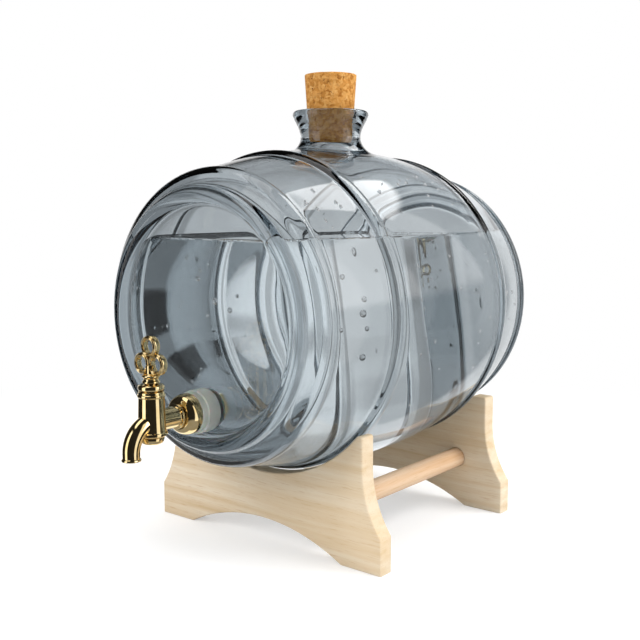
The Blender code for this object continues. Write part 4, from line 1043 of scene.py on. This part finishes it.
def build_tap_trim(gold, silicone):
    hole = TAIL_RADIUS + TAP_GAP

    def trim(name, node, section, place=along_tail):
        shape = turned(section, TAP_SIDES, place, closed=section[0][0] > 0)
        add_piece(name, shape, gold, "barrel", node, GOLD_EDGE)

    def washer(name, node, section):
        add_piece(name, turned(section, TAP_SIDES, along_tail, True), silicone, "barrel", node)

    front, back = WASHER_FRONT, WASHER_FRONT + WASHER_THICKNESS
    section = [(hole, front), (10.6, front), (10.6, front + 3.2)]
    section += [(11.2, front + 3.6), (11.2, back), (hole, back)]
    washer("milky_outer_washer", "outer_seal_washer", rounded(section, 0.5))
    front, back = FLANGE_FRONT, FLANGE_FRONT + FLANGE_THICKNESS
    dome = back - 1.4
    section = [(hole, front), (6.6, front)] + arc(6.6, dome, 3.8, -85, 0, 17, dome - front)
    section += [(10.4, back), (8.6, back), (8.6, back - 2.4), (hole, back - 2.4)]
    trim("gold_flange", "flange_rosette", rounded(section, 0.3))
    start = TAP_GAP - HEAD_INSIDE / MM
    washer("milky_inner_washer", "inner_seal_washer", rounded(tube(hole, 10.0, start, start + 2), 0.4))
    start += 2 + TAP_GAP
    trim("gold_thrust_washer", "thrust_washer", rounded(tube(hole, 9.2, start, start + 1), 0.2))
    start += 1 + TAP_GAP
    nut = hexagon_nut(hole, start, start + NUT_HEIGHT)
    add_piece("gold_lock_nut", nut, gold, "barrel", "lock_nut", 20)
    low = GLAND_BOTTOM
    section = [(2.9, low - 1), (4.4, low - 1), (4.4, low), (5.6, low)]
    section += arc(5.2, low + 1.25, 1.2, -60, 0, 6) + arc(5.2, low + 1.9, 1.2, 0, 90, 8)
    trim("gold_gland_ring", "gland_ring", section + [(2.9, low + 3.1)], up_tap)
    top = CAP_TOP
    section = [(0, top + 2.3), (4.3, top + 2.3), (4.3, top), (5.9, top), (5.9, top - 0.8)]
    section += arc(3.6, top - 0.8, 2.3, -7.5, -90, 11, 2.6) + [(0, top - 3.4)]
    trim("gold_bottom_cap", "bottom_cap", rounded(section, 0.2, closed=False), up_tap)


def build_handle(finish):
    turn = Matrix.Rotation(HANDLE_TURN, 3, "Z")
    about = lambda x, y, z: up_tap(*(turn @ Vector((x, y, z))))
    low, top, quarter = HUB_BOTTOM, HUB_BOTTOM + HUB_HEIGHT, HUB_HEIGHT / 4
    waist, wide = 3.4, 4.3
    section = [(0, low), (waist, low), (wide, low + quarter / 2), (wide, low + quarter)]
    section += [(waist, low + 2 * quarter), (wide, low + 3 * quarter), (wide, top - quarter / 2)]
    section += [(waist, top), (2.4, top), (2.4, top + 4.5), (0, top + 4.5)]
    hub = turned(rounded(section, 0.55, closed=False), TAP_SIDES, about)
    section = [(r, -y) for r, y in RING_FACE] + [(r, y) for r, y in reversed(RING_FACE)]
    spacing = 2 * RING_FACE[-1][0] - 0.8
    first = top + RING_FACE[-1][0] - 0.4
    rings = []
    last = first + spacing * math.sin(math.pi / 3)
    for across, height in ((-spacing / 2, first), (spacing / 2, first), (0, last)):
        place = lambda x, z, y, across=across, height=height: about(across + x, y, height + z)
        rings.append(turned(section, TAP_SIDES, place, True))
    socket = turned(tube(0, 2.9, low - CUT, STEM_TOP), 48, about)
    grub_hole = turned(tube(0, 1.2, 0, 9), 32, lambda x, z, y: about(x, y, low + 3 * quarter + z))
    shape = shaped(hub, joined=rings, cut=(socket, grub_hole))
    add_piece("gold_trefoil_handle", shape, finish, "tap_key", "trefoil_handle", GOLD_EDGE)


def gold_finish():
    # Gold-plated brass, cast, buffed and plated: a mirror with faint buffing haze, cream where it is lit
    made, tree, place = new_material("buffed_gold_plate")
    haze = add(tree, "TexNoise", {"Vector": place, "Scale": 240.0, "Detail": 3.0})
    limits = {"From Min": 0.3, "From Max": 0.7, "To Min": 0.04, "To Max": 0.1}
    rough = add(tree, "MapRange", {"Value": haze, **limits})
    tone = add(tree, "ValToRGB", {"Fac": haze}, stops=((0.3, "#efd296"), (0.7, "#f5deab")))
    swell = add(tree, "TexNoise", {"Vector": place, "Scale": 130.0, "Detail": 0.0})
    bump = add(tree, "Bump", {"Height": swell, "Strength": 0.08, "Distance": 0.0006})
    return close_material(made, {"Base Color": tone, "Roughness": rough, "Normal": bump, "Metallic": 1.0})


def silicone_finish():
    # Moulded translucent silicone: milky, lets light in a little way, with the dull skin of its mould
    surface = {"Roughness": 0.38, "IOR": 1.41, "Transmission Weight": 0.45}
    surface.update({"Subsurface Weight": 0.4, "Subsurface Scale": 0.003})
    tones = ((0.3, "#c9cdc6"), (0.7, "#dcdfd9"))
    return clouded("milky_silicone", 160.0, 2.0, surface, tones, (0.05, 0.0005))


def rubber_finish():
    # Moulded nitrile rubber: near black, with a dull bloom
    return clouded("black_nitrile", 700.0, 2.0, {"Roughness": 0.6}, ((0.35, "#161616"), (0.7, "#242423")))


# The studio


def build_room():
    """A white backdrop behind the object, with a window, panels and dark cloths round it.

    Diffuse surfaces see an even room, mirrors and bent light each see panels of their own.
    """
    world = bpy.data.worlds.new("studio")
    bpy.context.scene.world = world
    world.use_nodes = True
    tree = world.node_tree
    tree.nodes.clear()
    way = add(tree, "TexCoord").outputs["Generated"]
    from_backdrop = add(tree, "VectorRotate", {"Vector": way, "Angle": -VIEW_TURN}, rotation_type="Z_AXIS")
    parts = add(tree, "SeparateXYZ", {"Vector": from_backdrop}).outputs
    side = add(tree, "Math", {0: parts["X"], 1: parts["Y"]}, operation="ARCTAN2")
    rise = add(tree, "Math", {0: parts["Z"]}, operation="ARCSINE")

    def band(angle, low, high, soft):
        """One where the angle lies between two in degrees, falling to zero over the soft ones outside."""
        low, high, soft = (math.radians(v) for v in (low, high, soft))
        up = {"Value": angle, "From Min": low - soft, "From Max": low}
        down = {"Value": angle, "From Min": high, "From Max": high + soft, "To Min": 1.0, "To Max": 0.0}
        first, last = (add(tree, "MapRange", edge, interpolation_type="SMOOTHSTEP") for edge in (up, down))
        return add(tree, "Math", {0: first, 1: last}, operation="MULTIPLY")

    def surroundings(total, panels):
        for strength, sides, rises in panels:
            both = add(tree, "Math", {0: band(side, *sides), 1: band(rise, *rises)}, operation="MULTIPLY")
            total = add(tree, "Math", {0: both, 1: strength, 2: total}, operation="MULTIPLY_ADD")
        return add(tree, "Math", {0: total, 1: 0.0}, operation="MAXIMUM")

    rays = add(tree, "LightPath").outputs
    glossy = add(tree, "Background", {"Color": surroundings(ROOM_DARK, MIRRORED)})
    through = add(tree, "Background", {"Color": surroundings(BACK_LIGHT, BENT)})
    inside = add(tree, "Background", {"Color": WHITE, "Strength": INSIDE_LIGHT})
    white = add(tree, "Background", {"Color": WHITE})
    # Light that reaches the cork and the cradle through the glass
    lit = add(tree, "Math", {0: rays["Diffuse Depth"], 1: rays["Is Transmission Ray"]}, operation="MINIMUM")
    # A ray bent through clear glass counts as glossy too, so the transmitted one is chosen after it
    kinds = ((rays["Is Glossy Ray"], glossy), (rays["Is Transmission Ray"], through), (lit, inside))
    shown = add(tree, "Background", {"Color": WHITE, "Strength": ROOM_LIGHT})
    for kind, light in (*kinds, (rays["Is Camera Ray"], white)):
        shown = add(tree, "MixShader", {0: kind, 1: shown, 2: light})
    add(tree, "OutputWorld", {"Surface": shown})


def build_floor():
    # A pale matt table that fades to the backdrop's white, and that glass and gold look through
    made, tree, place = new_material("studio_floor")
    far = add(tree, "VectorMath", {0: place}, operation="LENGTH").outputs["Value"]
    limits = {"Value": far, "From Min": FLOOR_FADE[0], "From Max": FLOOR_FADE[1]}
    fade = add(tree, "MapRange", limits, interpolation_type="SMOOTHSTEP")
    rays = add(tree, "LightPath").outputs
    bent = add(tree, "Math", {0: rays["Is Glossy Ray"], 1: rays["Is Transmission Ray"]}, operation="MAXIMUM")
    matt = add(tree, "BsdfDiffuse", {"Color": (TABLE_GREY, TABLE_GREY, TABLE_GREY, 1)})
    lift = add(tree, "Emission", {"Color": WHITE, "Strength": TABLE_GLOW})
    near = add(tree, "AddShader", {0: matt, 1: lift})
    white = add(tree, "Emission", {"Color": WHITE, "Strength": 1.0})
    shown = add(tree, "MixShader", {0: fade, 1: near, 2: white})
    plain = add(tree, "BsdfDiffuse", {"Color": (BOUNCE_GREY, BOUNCE_GREY, BOUNCE_GREY, 1)})
    shown = add(tree, "MixShader", {0: rays["Is Camera Ray"], 1: plain, 2: shown})
    shown = add(tree, "MixShader", {0: bent, 1: shown, 2: add(tree, "BsdfTransparent")})
    add(tree, "OutputMaterial", {"Surface": shown})

    shape = bmesh.new()
    bmesh.ops.create_circle(shape, cap_ends=True, radius=FLOOR_RADIUS, segments=96)
    mesh = bpy.data.meshes.new("studio_floor")
    shape.to_mesh(mesh)
    shape.free()
    mesh.materials.append(made)
    put("studio_floor", mesh)


def point_at(made, way):
    """Turns a camera or a lamp to look this way."""
    made.rotation_mode = "QUATERNION"
    made.rotation_quaternion = way.to_track_quat("-Z", "Y")


def studio():
    bpy.context.scene.view_settings.view_transform = "Standard"
    data = bpy.data.cameras.new("camera")
    data.lens = LENS
    data.sensor_width = 36.0
    data.clip_start = 0.01
    camera = put("camera", data)
    camera.location = CAMERA_PLACE
    level = math.cos(VIEW_RISE)
    back = Vector((math.sin(VIEW_TURN) * level, -math.cos(VIEW_TURN) * level, math.sin(VIEW_RISE)))
    point_at(camera, -back)
    bpy.context.scene.camera = camera
    build_room()
    build_floor()
    for name, place, size, strength in LIGHTS:
        data = bpy.data.lights.new(name, "AREA")
        data.shape = "RECTANGLE"
        data.size, data.size_y = size
        data.energy = strength
        lamp = put(name, data)
        lamp.location = place
        lamp.visible_glossy = False
        lamp.visible_transmission = False
        point_at(lamp, LIT_PLACE - Vector(place))


def main():
    studio()
    build_glass(glass_finish())
    build_liquid(liquid_finish())
    air = clear_finish("air_in_spirit", 1 / SPIRIT_BENDING)
    build_bubbles(air, clear_finish("drop_of_spirit", SPIRIT_BENDING))
    build_cork(cork_finish())
    tones = ((0.28, "#ccb28a"), (0.44, "#d9c4a5"), (0.62, "#e1d3bc"))
    wood = beech_finish("sanded_beech", tones, (5.0, 55.0, 190.0), (90.0, 1500.0, 1500.0), 0.0)
    build_board("front", *FRONT_BOARD, wood)
    build_board("rear", *REAR_BOARD, wood)
    tones = ((0.28, "#c3976e"), (0.44, "#d3ae89"), (0.62, "#ddc1a3"))
    wood = beech_finish("turned_beech", tones, (190.0, 5.0, 190.0), (1500.0, 90.0, 1500.0), 3.0)
    build_dowel("left", -1, wood)
    build_dowel("right", 1, wood)
    gold, silicone, rubber = gold_finish(), silicone_finish(), rubber_finish()
    build_tap_body(gold)
    build_tap_trim(gold, silicone)
    build_thread(gold)
    build_handle(gold)
    for node in ("stem_seal", "upper_plug_seal", "lower_plug_seal", "tap_plug", "handle_grub_screw"):
        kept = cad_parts[node]
        kept.data.materials.clear()
        kept.data.materials.append(gold if node in ("tap_plug", "handle_grub_screw") else rubber)


main()
